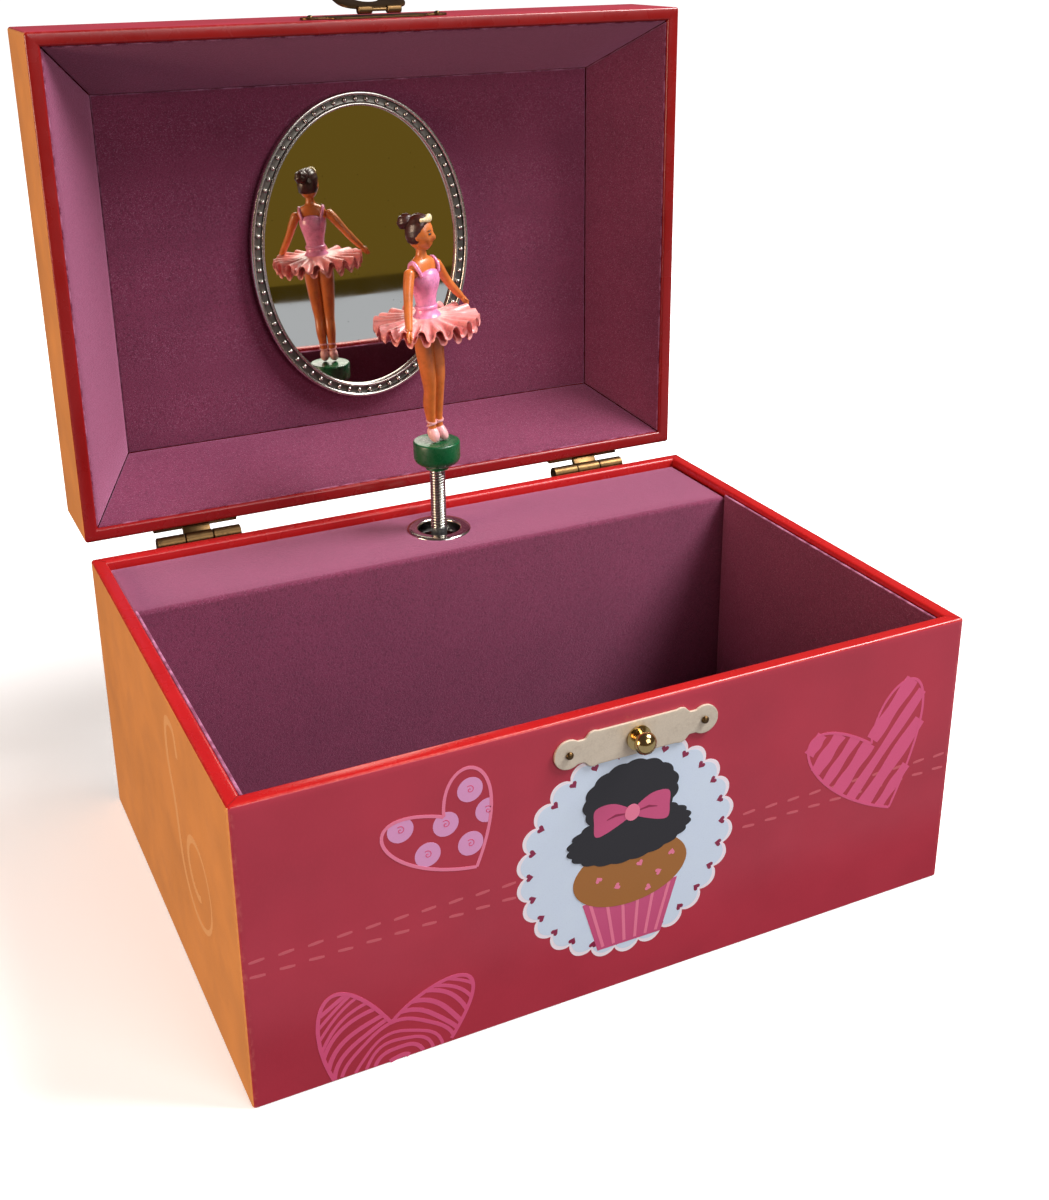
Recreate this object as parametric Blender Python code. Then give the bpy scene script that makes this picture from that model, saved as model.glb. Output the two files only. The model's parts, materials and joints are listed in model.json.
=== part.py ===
"""Wind up music box: a papered box with a hinged lid, an oval mirror and a dancer on a spring.

Metres, +Z up. X runs to the right, Y to the back. The origin is the centre of the underside.
The lid is modelled shut and hangs under an empty on the hinge axis, which turns it open.
"""

import math

import bmesh
import bpy
from mathutils import Matrix, Vector

# ---- Driving dimensions, metres -------------------------------------------------------------
WIDTH = 0.180
DEPTH = 0.130
HEIGHT = 0.073
LID_HEIGHT = 0.0265
WALL = 0.0035
BASE_BOARD = 0.0030
TOP_BOARD = 0.0026
LINING = 0.0009
FIT = 0.0003
LINING_DROP = 0.0012

LEDGE_DEPTH = 0.0301
LEDGE_DROP = 0.0020
LEDGE_BOARD = 0.0020
PARTITION = 0.0020

OPEN_ANGLE = math.radians(90.6)
HINGE_BACK = 0.0036
HINGE_DROP = 0.0010
HINGE_SPACING = 0.1204
HINGE_WIDTH = 0.0230
KNUCKLE_RADIUS = 0.0020
HINGE_PIN_RADIUS = 0.0008
HINGE_LEAF = 0.0008
HINGE_LEAF_HEIGHT = 0.0110

LID_SLOPE_SIDE = 0.0178
LID_SLOPE_FRONT = 0.0174
LID_SLOPE_BACK = 0.0156
LID_LINING_START = 0.0008

MIRROR_WIDTH = 0.0656
MIRROR_LENGTH = 0.0876
MIRROR_CENTRE = (-0.0010, -0.0014)
MIRROR_FRAME_DEPTH = 0.0026
MIRROR_FRAME_LAP = 0.0040
MIRROR_REBATE = 0.0022
MIRROR_GLASS = 0.0009

CATCH_LENGTH = 0.0407
CATCH_HEIGHT = 0.0082
CATCH_LOBE_RADIUS = 0.0035
CATCH_BELOW_RIM = 0.0082
CATCH_SHEET = 0.0006
KNOB_RADIUS = 0.0030
KNOB_HEIGHT = 0.0045
KNOB_SHANK_RADIUS = 0.0012
NAIL_HEAD_RADIUS = 0.0009
NAIL_SHANK_RADIUS = 0.00045
NAIL_DEPTH = 0.0022

HASP_WIDTH = 0.0190
HASP_LENGTH = 0.0160
HASP_SHEET = 0.0008
HASP_FOLD = math.radians(165)
LATCH_RAISE = 0.0021
LATCH_STAND = 0.0022
LATCH_KNUCKLE_RADIUS = 0.0010
LATCH_PIN_RADIUS = 0.00045
LATCH_BARREL = 0.0120

SPINDLE_OFFSET = 0.0020
SPINDLE_FROM_BACK = 0.0174
SPINDLE_RADIUS = 0.0010
SPRING_SEAT_LENGTH = 0.0052
EYELET_FLANGE_RADIUS = 0.0089
EYELET_HOLE_RADIUS = 0.00585
EYELET_SHEET = 0.0005
BEND_ABOVE_LEDGE = 0.0060
STEM_RADIUS = 0.0022
STEM_BORE_RADIUS = 0.0014

DANCER_BASE_ABOVE_RIM = 0.0160
DANCER_BASE_HEIGHT = 0.0080
DANCER_BASE_RADIUS = 0.0064
DANCER_SOCKET = 0.0050
DANCER_HEIGHT = 0.0628
DANCER_HEADING = math.radians(-76)
HEAD_TURN = math.radians(35)
SKIRT_RADIUS = 0.0140
SKIRT_HOLE_RADIUS = 0.0042

KEY_AXIS_HEIGHT = 0.0200
ARBOR_RADIUS = 0.0015
KEY_REACH = 0.0190
KEY_SPAN = 0.0260
KEY_SHEET = 0.0016
KEY_BOSS_RADIUS = 0.0032
KEY_BACK_GAP = 0.0034

GEAR_MODULE = 0.0005
GREAT_WHEEL_TEETH = 50
PINION_TEETH = 16
CYLINDER_WHEEL_TEETH = 32
GOVERNOR_PINION_TEETH = 10
GOVERNOR_WHEEL_TEETH = 24
TOOTH_SHARE = 0.34
ADDENDUM = 0.00035
DEDENDUM = 0.00060
CYLINDER_RADIUS = 0.0065
CYLINDER_LENGTH = 0.0210
PIN_HEIGHT = 0.0007
NOTE_COUNT = 18
BEDPLATE = 0.0024
SPRING_CUP_RADIUS = 0.0102
SPRING_CUP_WALL = 0.0008
SPRING_CUP_DEPTH = 0.0096
SPRING_TURNS = 3.5
SPRING_STRIP = 0.00045
SCREW_SHANK_RADIUS = 0.0009
SCREW_HEAD_RADIUS = 0.0020
SCREW_HEAD_HEIGHT = 0.0012
FAN_RADIUS = 0.0042
WORM_RADIUS = 0.0015
GOVERNOR_ARBOR_RADIUS = 0.0006

STOP_WIRE_RADIUS = 0.0006
STOP_WIRE_OFFSET = (0.0040, 0.0095)
STOP_TRAVEL = 0.0040
STOP_ABOVE_RIM = 0.0100

# ---- Places that follow from them -----------------------------------------------------------
HALF_W = WIDTH / 2
HALF_D = DEPTH / 2
INNER_W = HALF_W - WALL - FIT
INNER_D = HALF_D - WALL - FIT
MITRE = FIT * math.sqrt(0.5)

LEDGE_TOP = HEIGHT - LEDGE_DROP
LEDGE_FRONT = HALF_D - WALL - LEDGE_DEPTH
FLOOR_TOP = BASE_BOARD + FIT + LINING

LID_RIM = HEIGHT + FIT
LID_TOP = LID_RIM + LID_HEIGHT
LID_PANEL_FACE = LID_TOP - TOP_BOARD - FIT - LINING
HINGE_AXIS = Vector((0, HALF_D + HINGE_BACK, HEIGHT - HINGE_DROP))

CATCH_FACE = -HALF_D - FIT - CATCH_SHEET
CATCH_AXIS_Z = HEIGHT - CATCH_BELOW_RIM
LATCH_AXIS = Vector((0, -HALF_D - LATCH_STAND, LID_RIM + LATCH_RAISE))

SPINDLE = Vector((SPINDLE_OFFSET, HALF_D - SPINDLE_FROM_BACK, 0))
BEND_POINT = SPINDLE + Vector((0, 0, LEDGE_TOP + BEND_ABOVE_LEDGE))
DANCER_BASE_BOTTOM = HEIGHT + DANCER_BASE_ABOVE_RIM
DANCER_STAND = DANCER_BASE_BOTTOM + DANCER_BASE_HEIGHT

BEDPLATE_BACK = INNER_D
BEDPLATE_FRONT = BEDPLATE_BACK - BEDPLATE


def pitch_radius(teeth):
    return teeth * GEAR_MODULE / 2


PINION_MIDDLE = KEY_AXIS_HEIGHT + pitch_radius(GREAT_WHEEL_TEETH)
PINION_HALF = 0.0014
LUG = 0.0012
LOWER_LUG = PINION_MIDDLE + PINION_HALF + FIT * 2
CYLINDER_LOW = LOWER_LUG + LUG + FIT * 2
CYLINDER_HIGH = CYLINDER_LOW + CYLINDER_LENGTH
WHEEL_FACE = 0.0016
CYLINDER_WHEEL_LOW = CYLINDER_HIGH + FIT * 3
GOVERNOR_WHEEL_LOW = CYLINDER_WHEEL_LOW + WHEEL_FACE + FIT * 4
UPPER_LUG = GOVERNOR_WHEEL_LOW + WHEEL_FACE + 0.0026
GOVERNOR_X = SPINDLE.x - pitch_radius(CYLINDER_WHEEL_TEETH) - pitch_radius(GOVERNOR_PINION_TEETH)
WORM_X = GOVERNOR_X - pitch_radius(GOVERNOR_WHEEL_TEETH) - ADDENDUM - FIT - WORM_RADIUS
WORM_Z = GOVERNOR_WHEEL_LOW + WHEEL_FACE / 2

# ---- Finishes -------------------------------------------------------------------------------
FINISHES = {
    "raspberry_paper": ((0.350, 0.040, 0.058), 0.45, 0.0),
    "gold_paper": ((0.560, 0.205, 0.050), 0.45, 0.0),
    "plum_flock": ((0.170, 0.050, 0.105), 0.95, 0.0),
    "board": ((0.420, 0.290, 0.170), 0.80, 0.0),
    "antique_brass": ((0.450, 0.330, 0.150), 0.35, 1.0),
    "nickel_plate": ((0.680, 0.640, 0.560), 0.30, 1.0),
    "chrome": ((0.780, 0.780, 0.780), 0.12, 1.0),
    "mirror": ((0.900, 0.900, 0.900), 0.02, 1.0),
    "movement_steel": ((0.560, 0.570, 0.580), 0.35, 1.0),
    "movement_brass": ((0.780, 0.570, 0.250), 0.30, 1.0),
    "green_plastic": ((0.010, 0.140, 0.055), 0.35, 0.0),
    "figure_brown": ((0.280, 0.080, 0.020), 0.40, 0.0),
    "skirt_pink": ((0.850, 0.360, 0.370), 0.50, 0.0),
}


def finish(name):
    """The Principled material of that name, made once."""
    found = bpy.data.materials.get(name)
    if found:
        return found
    colour, roughness, metallic = FINISHES[name]
    made = bpy.data.materials.new(name)
    made.use_nodes = True
    shader = made.node_tree.nodes["Principled BSDF"]
    shader.inputs["Base Color"].default_value = (*colour, 1)
    shader.inputs["Roughness"].default_value = roughness
    shader.inputs["Metallic"].default_value = metallic
    made.diffuse_color = (*colour, 1)
    return made


# ---- Making solids --------------------------------------------------------------------------
def place_of(empty):
    return Vector(empty["place"])


def pivot(name, at, angle=0.0, parent=None):
    """An empty on a joint's axis. Pieces under it keep the coordinates of the unturned joint."""
    empty = bpy.data.objects.new(name, None)
    bpy.context.scene.collection.objects.link(empty)
    empty.empty_display_size = 0.01
    empty.parent = parent
    empty.location = at - (place_of(parent) if parent else Vector())
    empty.rotation_euler.x = angle
    empty["place"] = at
    return empty


def solid(name, shape, finish_name, under=None, smooth=False):
    """An object from a bmesh, with its faces turned outwards."""
    bmesh.ops.recalc_face_normals(shape, faces=shape.faces)
    mesh = bpy.data.meshes.new(name)
    shape.to_mesh(mesh)
    shape.free()
    if smooth:
        mesh.shade_smooth()
        mesh.set_sharp_from_angle(angle=math.radians(35))
    made = bpy.data.objects.new(name, mesh)
    mesh.materials.append(finish(finish_name))
    bpy.context.scene.collection.objects.link(made)
    if under:
        made.parent = under
        made.location = -place_of(under)
    return made


def combine(target, shape, operation):
    """A Boolean of the target and a hidden helper made from a bmesh."""
    helper = solid(target.name + "_tool", shape, target.material_slots[0].material.name)
    helper.parent = target.parent
    helper.location = target.location
    helper.hide_render = True
    helper.display_type = "WIRE"
    step = target.modifiers.new(operation.lower(), "BOOLEAN")
    step.operation = operation
    step.object = helper


def cut(target, *shapes):
    for shape in shapes:
        combine(target, shape, "DIFFERENCE")


def fuse(target, *shapes):
    for shape in shapes:
        combine(target, shape, "UNION")


def block(low, high):
    """A box from its lowest to its highest corner."""
    shape = bmesh.new()
    bmesh.ops.create_cube(shape, size=1)
    low, high = Vector(low), Vector(high)
    size = high - low
    bmesh.ops.scale(shape, vec=size, verts=shape.verts)
    bmesh.ops.translate(shape, vec=(low + high) / 2, verts=shape.verts)
    return shape


def on_axis(axis, across, up, along):
    """Plane coordinates and a height along X, Y or Z, as a point. Planes: X has YZ, Y has XZ."""
    return {
        "X": Vector((along, across, up)),
        "Y": Vector((across, along, up)),
        "Z": Vector((across, up, along)),
    }[axis]


def prism(outline, axis, low, high):
    """An outline in the plane across the axis, extruded from low to high."""
    shape = bmesh.new()
    ends = []
    for along in (low, high):
        ends.append([shape.verts.new(on_axis(axis, u, v, along)) for u, v in outline])
    shape.faces.new(ends[0])
    shape.faces.new(ends[1])
    count = len(outline)
    for i in range(count):
        j = (i + 1) % count
        shape.faces.new((ends[0][i], ends[0][j], ends[1][j], ends[1][i]))
    return shape


def turned(profile, axis, centre, segments=24):
    """A profile of (radius, along) turned about an axis through (across, up) in its plane.

    A profile that starts and ends on the axis is a solid, and any other is a closed ring.
    """
    shape = bmesh.new()
    rings = []
    for radius, along in profile:
        turns = segments if radius > 0 else 1
        rings.append([
            shape.verts.new(on_axis(
                axis,
                centre[0] + radius * math.cos(2 * math.pi * k / segments),
                centre[1] + radius * math.sin(2 * math.pi * k / segments),
                along,
            ))
            for k in range(turns)
        ])
    pairs = list(zip(rings, rings[1:]))
    if profile[0][0] > 0:
        pairs.append((rings[-1], rings[0]))
    for first, second in pairs:
        for k in range(segments):
            n = (k + 1) % segments
            corners = [first[k % len(first)], first[n % len(first)]]
            corners += [second[n % len(second)], second[k % len(second)]]
            shape.faces.new(dict.fromkeys(corners))
    return shape


def rod(radius, axis, centre, low, high, segments=16):
    return turned([(0, low), (radius, low), (radius, high), (0, high)], axis, centre, segments)


def tube(outer, inner, axis, centre, low, high, segments=24):
    profile = [(outer, low), (outer, high), (inner, high), (inner, low)]
    return turned(profile, axis, centre, segments)


def ball(centre, radii, rotation=0.0, segments=14, rings=8):
    """An ellipsoid, turned about Z."""
    shape = bmesh.new()
    bmesh.ops.create_uvsphere(shape, u_segments=segments, v_segments=rings, radius=1)
    bmesh.ops.scale(shape, vec=radii, verts=shape.verts)
    turn = Matrix.Rotation(rotation, 3, "Z")
    bmesh.ops.rotate(shape, cent=(0, 0, 0), matrix=turn, verts=shape.verts)
    bmesh.ops.translate(shape, vec=centre, verts=shape.verts)
    return shape


def limb(points, radii, sides=10):
    """A round limb through points with a radius at each, with pointed closed ends."""
    shape = bmesh.new()
    points = [Vector(p) for p in points]
    rings = []
    for i, (point, radius) in enumerate(zip(points, radii)):
        before, after = points[max(i - 1, 0)], points[min(i + 1, len(points) - 1)]
        along = (after - before).normalized()
        side = along.cross(Vector((1, 0.3, 0.1))).normalized()
        other = along.cross(side)
        rings.append([
            shape.verts.new(point + radius * (
                side * math.cos(2 * math.pi * k / sides) + other * math.sin(2 * math.pi * k / sides)
            ))
            for k in range(sides)
        ])
    for first, second in zip(rings, rings[1:]):
        for k in range(sides):
            n = (k + 1) % sides
            shape.faces.new((first[k], first[n], second[n], second[k]))
    for ring, out, radius in (
        (rings[0], points[0] - points[1], radii[0]),
        (rings[-1], points[-1] - points[-2], radii[-1]),
    ):
        middle = sum((v.co for v in ring), Vector()) / sides
        tip = shape.verts.new(middle + out.normalized() * radius * 0.7)
        for k in range(sides):
            shape.faces.new((ring[k], ring[(k + 1) % sides], tip))
    return shape


def arc(centre, radius, start, end, steps):
    """Points on an arc, angles in degrees."""
    return [
        (
            centre[0] + radius * math.cos(math.radians(start + (end - start) * k / steps)),
            centre[1] + radius * math.sin(math.radians(start + (end - start) * k / steps)),
        )
        for k in range(steps + 1)
    ]


def gear_outline(teeth, centre, phase=0.0):
    """Straight-sided teeth, thinner than half the pitch, so that the pair has backlash."""
    tip, root = pitch_radius(teeth) + ADDENDUM, pitch_radius(teeth) - DEDENDUM
    pitch = 2 * math.pi / teeth
    outline = []
    for k in range(teeth):
        middle = phase + k * pitch
        for radius, share in ((root, -0.62), (tip, -0.38), (tip, 0.38), (root, 0.62)):
            angle = middle + share * pitch * TOOTH_SHARE * 2 * 0.6
            outline.append((
                centre[0] + radius * math.cos(angle),
                centre[1] + radius * math.sin(angle),
            ))
    return outline


# ---- The box --------------------------------------------------------------------------------
def mitred_walls(prefix, low, high, under=None):
    """Four walls with mitred corners. Each keeps a clearance to the next."""
    out_x, out_y = HALF_W, HALF_D
    in_x, in_y = HALF_W - WALL, HALF_D - WALL
    walls = {}
    for side, sign in (("front", -1), ("back", 1)):
        outline = [
            (-out_x + MITRE, sign * out_y), (out_x - MITRE, sign * out_y),
            (in_x - MITRE, sign * in_y), (-in_x + MITRE, sign * in_y),
        ]
        shape = prism(outline, "Z", low, high)
        walls[side] = solid(f"{prefix}{side}_wall", shape, "raspberry_paper", under)
    for side, sign in (("left", -1), ("right", 1)):
        outline = [
            (sign * out_x, -out_y + MITRE), (sign * out_x, out_y - MITRE),
            (sign * in_x, in_y - MITRE), (sign * in_x, -in_y + MITRE),
        ]
        shape = prism(outline, "Z", low, high)
        walls[side] = solid(f"{prefix}{side}_wall", shape, "gold_paper", under)
    return walls


def carcass():
    """The boards of the box and the flocked linings inside it."""
    walls = mitred_walls("", 0, HEIGHT)
    hole = ARBOR_RADIUS + 0.0015
    cut(
        walls["back"],
        rod(hole, "Y", (SPINDLE.x, KEY_AXIS_HEIGHT), HALF_D - 2 * WALL, HALF_D + WALL),
        *[
            rod(SCREW_SHANK_RADIUS + FIT, "Y", at, HALF_D - 2 * WALL, HALF_D + WALL, 12)
            for at in movement_screw_places()
        ],
    )
    shank = KNOB_SHANK_RADIUS + FIT
    cut(
        walls["front"],
        rod(shank, "Y", (0, CATCH_AXIS_Z), -HALF_D - WALL, -HALF_D + NAIL_DEPTH + FIT, 16),
        *[
            rod(NAIL_SHANK_RADIUS + FIT, "Y", (x, CATCH_AXIS_Z), -HALF_D - WALL,
                -HALF_D + NAIL_DEPTH + FIT, 10)
            for x in catch_nail_places()
        ],
    )
    solid("base_panel", block((-INNER_W, -INNER_D, 0), (INNER_W, INNER_D, BASE_BOARD)), "board")

    top = HEIGHT - LINING_DROP
    front = -INNER_D + LINING
    solid("floor_lining", block((-INNER_W, -INNER_D, BASE_BOARD + FIT),
                                (INNER_W, LEDGE_FRONT - FIT, FLOOR_TOP)), "plum_flock")
    solid("front_lining", block((-INNER_W, -INNER_D, FLOOR_TOP + FIT),
                                (INNER_W, front, top)), "plum_flock")
    for side, sign in (("left", -1), ("right", 1)):
        xs = sorted((sign * INNER_W, sign * (INNER_W - LINING)))
        solid(f"{side}_lining", block((xs[0], front + FIT, FLOOR_TOP + FIT),
                                      (xs[1], LEDGE_FRONT - FIT, top)), "plum_flock")
    solid("partition", block((-INNER_W, LEDGE_FRONT, BASE_BOARD + FIT),
                             (INNER_W, LEDGE_FRONT + PARTITION, LEDGE_TOP - LEDGE_BOARD - FIT)),
          "plum_flock")


def ledge():
    """The flocked shelf over the movement, with the eyelet for the dancer's stem."""
    shelf = solid("ledge_cover", block((-INNER_W, LEDGE_FRONT, LEDGE_TOP - LEDGE_BOARD),
                                       (INNER_W, INNER_D, LEDGE_TOP)), "plum_flock")
    barrel = EYELET_HOLE_RADIUS + EYELET_SHEET
    low, high = LEDGE_TOP - LEDGE_BOARD - FIT * 2, LEDGE_TOP + FIT * 4
    wire = stop_wire_place()
    cut(
        shelf,
        rod(barrel + FIT, "Z", SPINDLE.xy, low, high, 32),
        rod(STOP_WIRE_RADIUS * 2, "Z", wire, low, high, 12),
    )
    seat = LEDGE_TOP + FIT
    crown = seat + 2 * EYELET_SHEET
    bottom = LEDGE_TOP - LEDGE_BOARD - 2 * EYELET_SHEET
    profile = [
        (EYELET_HOLE_RADIUS, bottom), (EYELET_HOLE_RADIUS, crown - EYELET_SHEET),
        (EYELET_HOLE_RADIUS + EYELET_SHEET, crown),
        (EYELET_FLANGE_RADIUS - 2 * EYELET_SHEET, crown - EYELET_SHEET * 0.6),
        (EYELET_FLANGE_RADIUS, seat + EYELET_SHEET * 0.4), (EYELET_FLANGE_RADIUS, seat),
        (barrel, seat), (barrel, bottom),
    ]
    solid("spindle_eyelet", turned(profile[::-1], "Z", SPINDLE.xy, 40), "chrome", smooth=True)


# ---- Hinges ---------------------------------------------------------------------------------
def hinge_knuckle(low, high, leaf_side):
    """A knuckle on the hinge axis with the strip that joins it to its leaf."""
    axis = (HINGE_AXIS.y, HINGE_AXIS.z)
    reach = KNUCKLE_RADIUS + 2 * FIT
    leaf_back = HALF_D + FIT + HINGE_LEAF
    strip = [
        (leaf_back - HINGE_LEAF, axis[1] + leaf_side * (reach + HINGE_LEAF)),
        (leaf_back - HINGE_LEAF, axis[1] + leaf_side * (reach - HINGE_LEAF / 2)),
        (axis[0] - KNUCKLE_RADIUS * 0.4, axis[1] + leaf_side * KNUCKLE_RADIUS * 0.25),
        (axis[0], axis[1] + leaf_side * KNUCKLE_RADIUS * 0.9),
        (leaf_back, axis[1] + leaf_side * (reach + HINGE_LEAF)),
    ]
    return [
        prism(strip, "X", low, high),
        rod(KNUCKLE_RADIUS, "X", axis, low, high, 20),
    ]


def hinge(side, centre, lid_pivot):
    """A butt hinge on the outside of the back: a leaf below, a leaf on the lid, and a pin."""
    third = HINGE_WIDTH / 3
    left, right = centre - HINGE_WIDTH / 2, centre + HINGE_WIDTH / 2
    reach = KNUCKLE_RADIUS + 2 * FIT
    face, back = HALF_D + FIT, HALF_D + FIT + HINGE_LEAF
    axis = (HINGE_AXIS.y, HINGE_AXIS.z)
    bore = HINGE_PIN_RADIUS + FIT

    low_top = HINGE_AXIS.z - reach
    lower = solid(f"hinge_lower_leaf_{side}",
                  block((left, face, low_top - HINGE_LEAF_HEIGHT), (right, back, low_top)),
                  "antique_brass")
    for x in (left, right - third + FIT / 2):
        fuse(lower, *hinge_knuckle(x, x + third - FIT / 2, -1))
    cut(lower, rod(bore, "X", axis, left - third, right + third, 14))

    high_low = HINGE_AXIS.z + reach
    upper = solid(f"hinge_upper_leaf_{side}",
                  block((left, face, high_low), (right, back, high_low + HINGE_LEAF_HEIGHT)),
                  "antique_brass", lid_pivot)
    fuse(upper, *hinge_knuckle(left + third + FIT / 2, right - third - FIT / 2, 1))
    cut(upper, rod(bore, "X", axis, left - third, right + third, 14))

    solid(f"hinge_pin_{side}", rod(HINGE_PIN_RADIUS, "X", axis, left, right, 12), "antique_brass",
          smooth=True)


# ---- The lid --------------------------------------------------------------------------------
def slope(name, corners, outward, under):
    """A flat lining board: its inner face by four corners, its outer face moved outwards."""
    shape = bmesh.new()
    inner = [shape.verts.new(c) for c in corners]
    outer = [shape.verts.new(Vector(c) + outward) for c in corners]
    shape.faces.new(inner)
    shape.faces.new(outer[::-1])
    for i in range(4):
        j = (i + 1) % 4
        shape.faces.new((inner[i], inner[j], outer[j], outer[i]))
    return solid(name, shape, "plum_flock", under)


def lid(lid_pivot):
    mitred_walls("lid_", LID_RIM, LID_TOP, lid_pivot)
    solid("lid_top_panel", block((-INNER_W, -INNER_D, LID_TOP - TOP_BOARD),
                                 (INNER_W, INNER_D, LID_TOP)), "raspberry_paper", lid_pivot)
    solid("lid_lining_panel", block((-INNER_W, -INNER_D, LID_PANEL_FACE),
                                    (INNER_W, INNER_D, LID_PANEL_FACE + LINING)),
          "plum_flock", lid_pivot)

    low, high = LID_RIM + LID_LINING_START, LID_PANEL_FACE - FIT
    steepness = (LID_SLOPE_SIDE - WALL) / (high - low)
    thick = LINING * math.sqrt(1 + steepness ** 2)
    edge = WALL + FIT + thick
    x0, x1 = HALF_W - edge, HALF_W - LID_SLOPE_SIDE
    front0, front1 = -HALF_D + edge, -HALF_D + LID_SLOPE_FRONT
    back0, back1 = HALF_D - edge, HALF_D - LID_SLOPE_BACK
    for side, y0, y1, sign in (("front", front0, front1, -1), ("back", back0, back1, 1)):
        corners = [(-x0, y0, low), (x0, y0, low), (x1, y1, high), (-x1, y1, high)]
        slope(f"lid_lining_{side}", corners, Vector((0, sign * thick, 0)), lid_pivot)
    for side, sign in (("left", -1), ("right", 1)):
        corners = [
            (sign * x0, front0 + FIT, low), (sign * x0, back0 - FIT, low),
            (sign * x1, back1 - FIT, high), (sign * x1, front1 + FIT, high),
        ]
        slope(f"lid_lining_{side}", corners, Vector((sign * thick, 0, 0)), lid_pivot)


def oval_loop(inset, along, segments):
    """A loop of the mirror's oval, moved in from its outer edge."""
    across, length = MIRROR_WIDTH / 2 - inset, MIRROR_LENGTH / 2 - inset
    return [
        (
            MIRROR_CENTRE[0] + across * math.cos(2 * math.pi * k / segments),
            MIRROR_CENTRE[1] + length * math.sin(2 * math.pi * k / segments),
            along,
        )
        for k in range(segments)
    ]


def mirror(lid_pivot):
    """The oval frame, whose lip holds the glass against the lid's lining."""
    segments = 56
    back = LID_PANEL_FACE - FIT
    front = back - MIRROR_FRAME_DEPTH
    lip_back = back - MIRROR_GLASS - 2 * FIT
    section = [
        (0, back), (0.0003, back - MIRROR_FRAME_DEPTH * 0.7), (0.0012, front),
        (MIRROR_FRAME_LAP - 0.0008, front + 0.0002), (MIRROR_FRAME_LAP, lip_back - 0.0004),
        (MIRROR_FRAME_LAP, lip_back), (MIRROR_REBATE, lip_back), (MIRROR_REBATE, back),
    ]
    shape = bmesh.new()
    loops = [[shape.verts.new(p) for p in oval_loop(i, z, segments)] for i, z in section]
    for first, second in zip(loops, loops[1:] + loops[:1]):
        for k in range(segments):
            n = (k + 1) % segments
            shape.faces.new((first[k], first[n], second[n], second[k]))
    solid("mirror_frame", shape, "chrome", lid_pivot, smooth=True)

    edge = [p[:2] for p in oval_loop(MIRROR_REBATE + FIT, 0, segments)]
    glass = prism(edge, "Z", lip_back + FIT, lip_back + FIT + MIRROR_GLASS)
    solid("mirror_glass", glass, "mirror", lid_pivot)


# ---- The catch ------------------------------------------------------------------------------
def catch_nail_places():
    reach = CATCH_LENGTH / 2 - CATCH_LOBE_RADIUS
    return (-reach, reach)


def catch_outline(middle):
    """A straight centre with scooped shoulders and a round lobe with a nail at each end."""
    lobe = CATCH_LENGTH / 2 - CATCH_LOBE_RADIUS
    shoulder = lobe - CATCH_LOBE_RADIUS * 1.9
    half = CATCH_HEIGHT / 2
    right = [(shoulder, -half), (shoulder + CATCH_LOBE_RADIUS * 0.55, -half * 0.68)]
    right += arc((lobe, 0), CATCH_LOBE_RADIUS, -120, 120, 10)
    right += [(shoulder + CATCH_LOBE_RADIUS * 0.55, half * 0.68), (shoulder, half)]
    whole = right + [(-x, -y) for x, y in right]
    return [(x, middle + y) for x, y in whole]


def catch():
    """The plate on the front of the box, its knob and its two nails."""
    back = -HALF_D - FIT
    plate = solid("catch_plate", prism(catch_outline(CATCH_AXIS_Z), "Y", CATCH_FACE, back),
                  "nickel_plate")
    cut(
        plate,
        rod(KNOB_SHANK_RADIUS + FIT, "Y", (0, CATCH_AXIS_Z), CATCH_FACE - WALL, back + FIT, 16),
        *[
            rod(NAIL_SHANK_RADIUS + FIT, "Y", (x, CATCH_AXIS_Z), CATCH_FACE - WALL, back + FIT, 10)
            for x in catch_nail_places()
        ],
    )
    seat = CATCH_FACE - FIT
    end = -HALF_D + NAIL_DEPTH
    r, h = KNOB_RADIUS, KNOB_HEIGHT
    profile = [
        (0, end), (KNOB_SHANK_RADIUS, end), (KNOB_SHANK_RADIUS, seat), (r * 0.85, seat),
        (r * 0.80, seat - h * 0.18), (r * 0.68, seat - h * 0.32), (r * 0.98, seat - h * 0.52),
        (r, seat - h * 0.64), (r * 0.86, seat - h * 0.82), (r * 0.50, seat - h * 0.96), (0, seat - h),
    ]
    solid("catch_knob", turned(profile, "Y", (0, CATCH_AXIS_Z), 24), "antique_brass", smooth=True)
    for side, x in zip(("left", "right"), catch_nail_places()):
        head = NAIL_HEAD_RADIUS
        profile = [
            (0, end), (NAIL_SHANK_RADIUS, end), (NAIL_SHANK_RADIUS, seat), (head, seat),
            (head * 0.7, seat - head * 0.35), (0, seat - head * 0.45),
        ]
        solid(f"catch_nail_{side}", turned(profile, "Y", (x, CATCH_AXIS_Z), 12), "nickel_plate",
              smooth=True)


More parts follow.
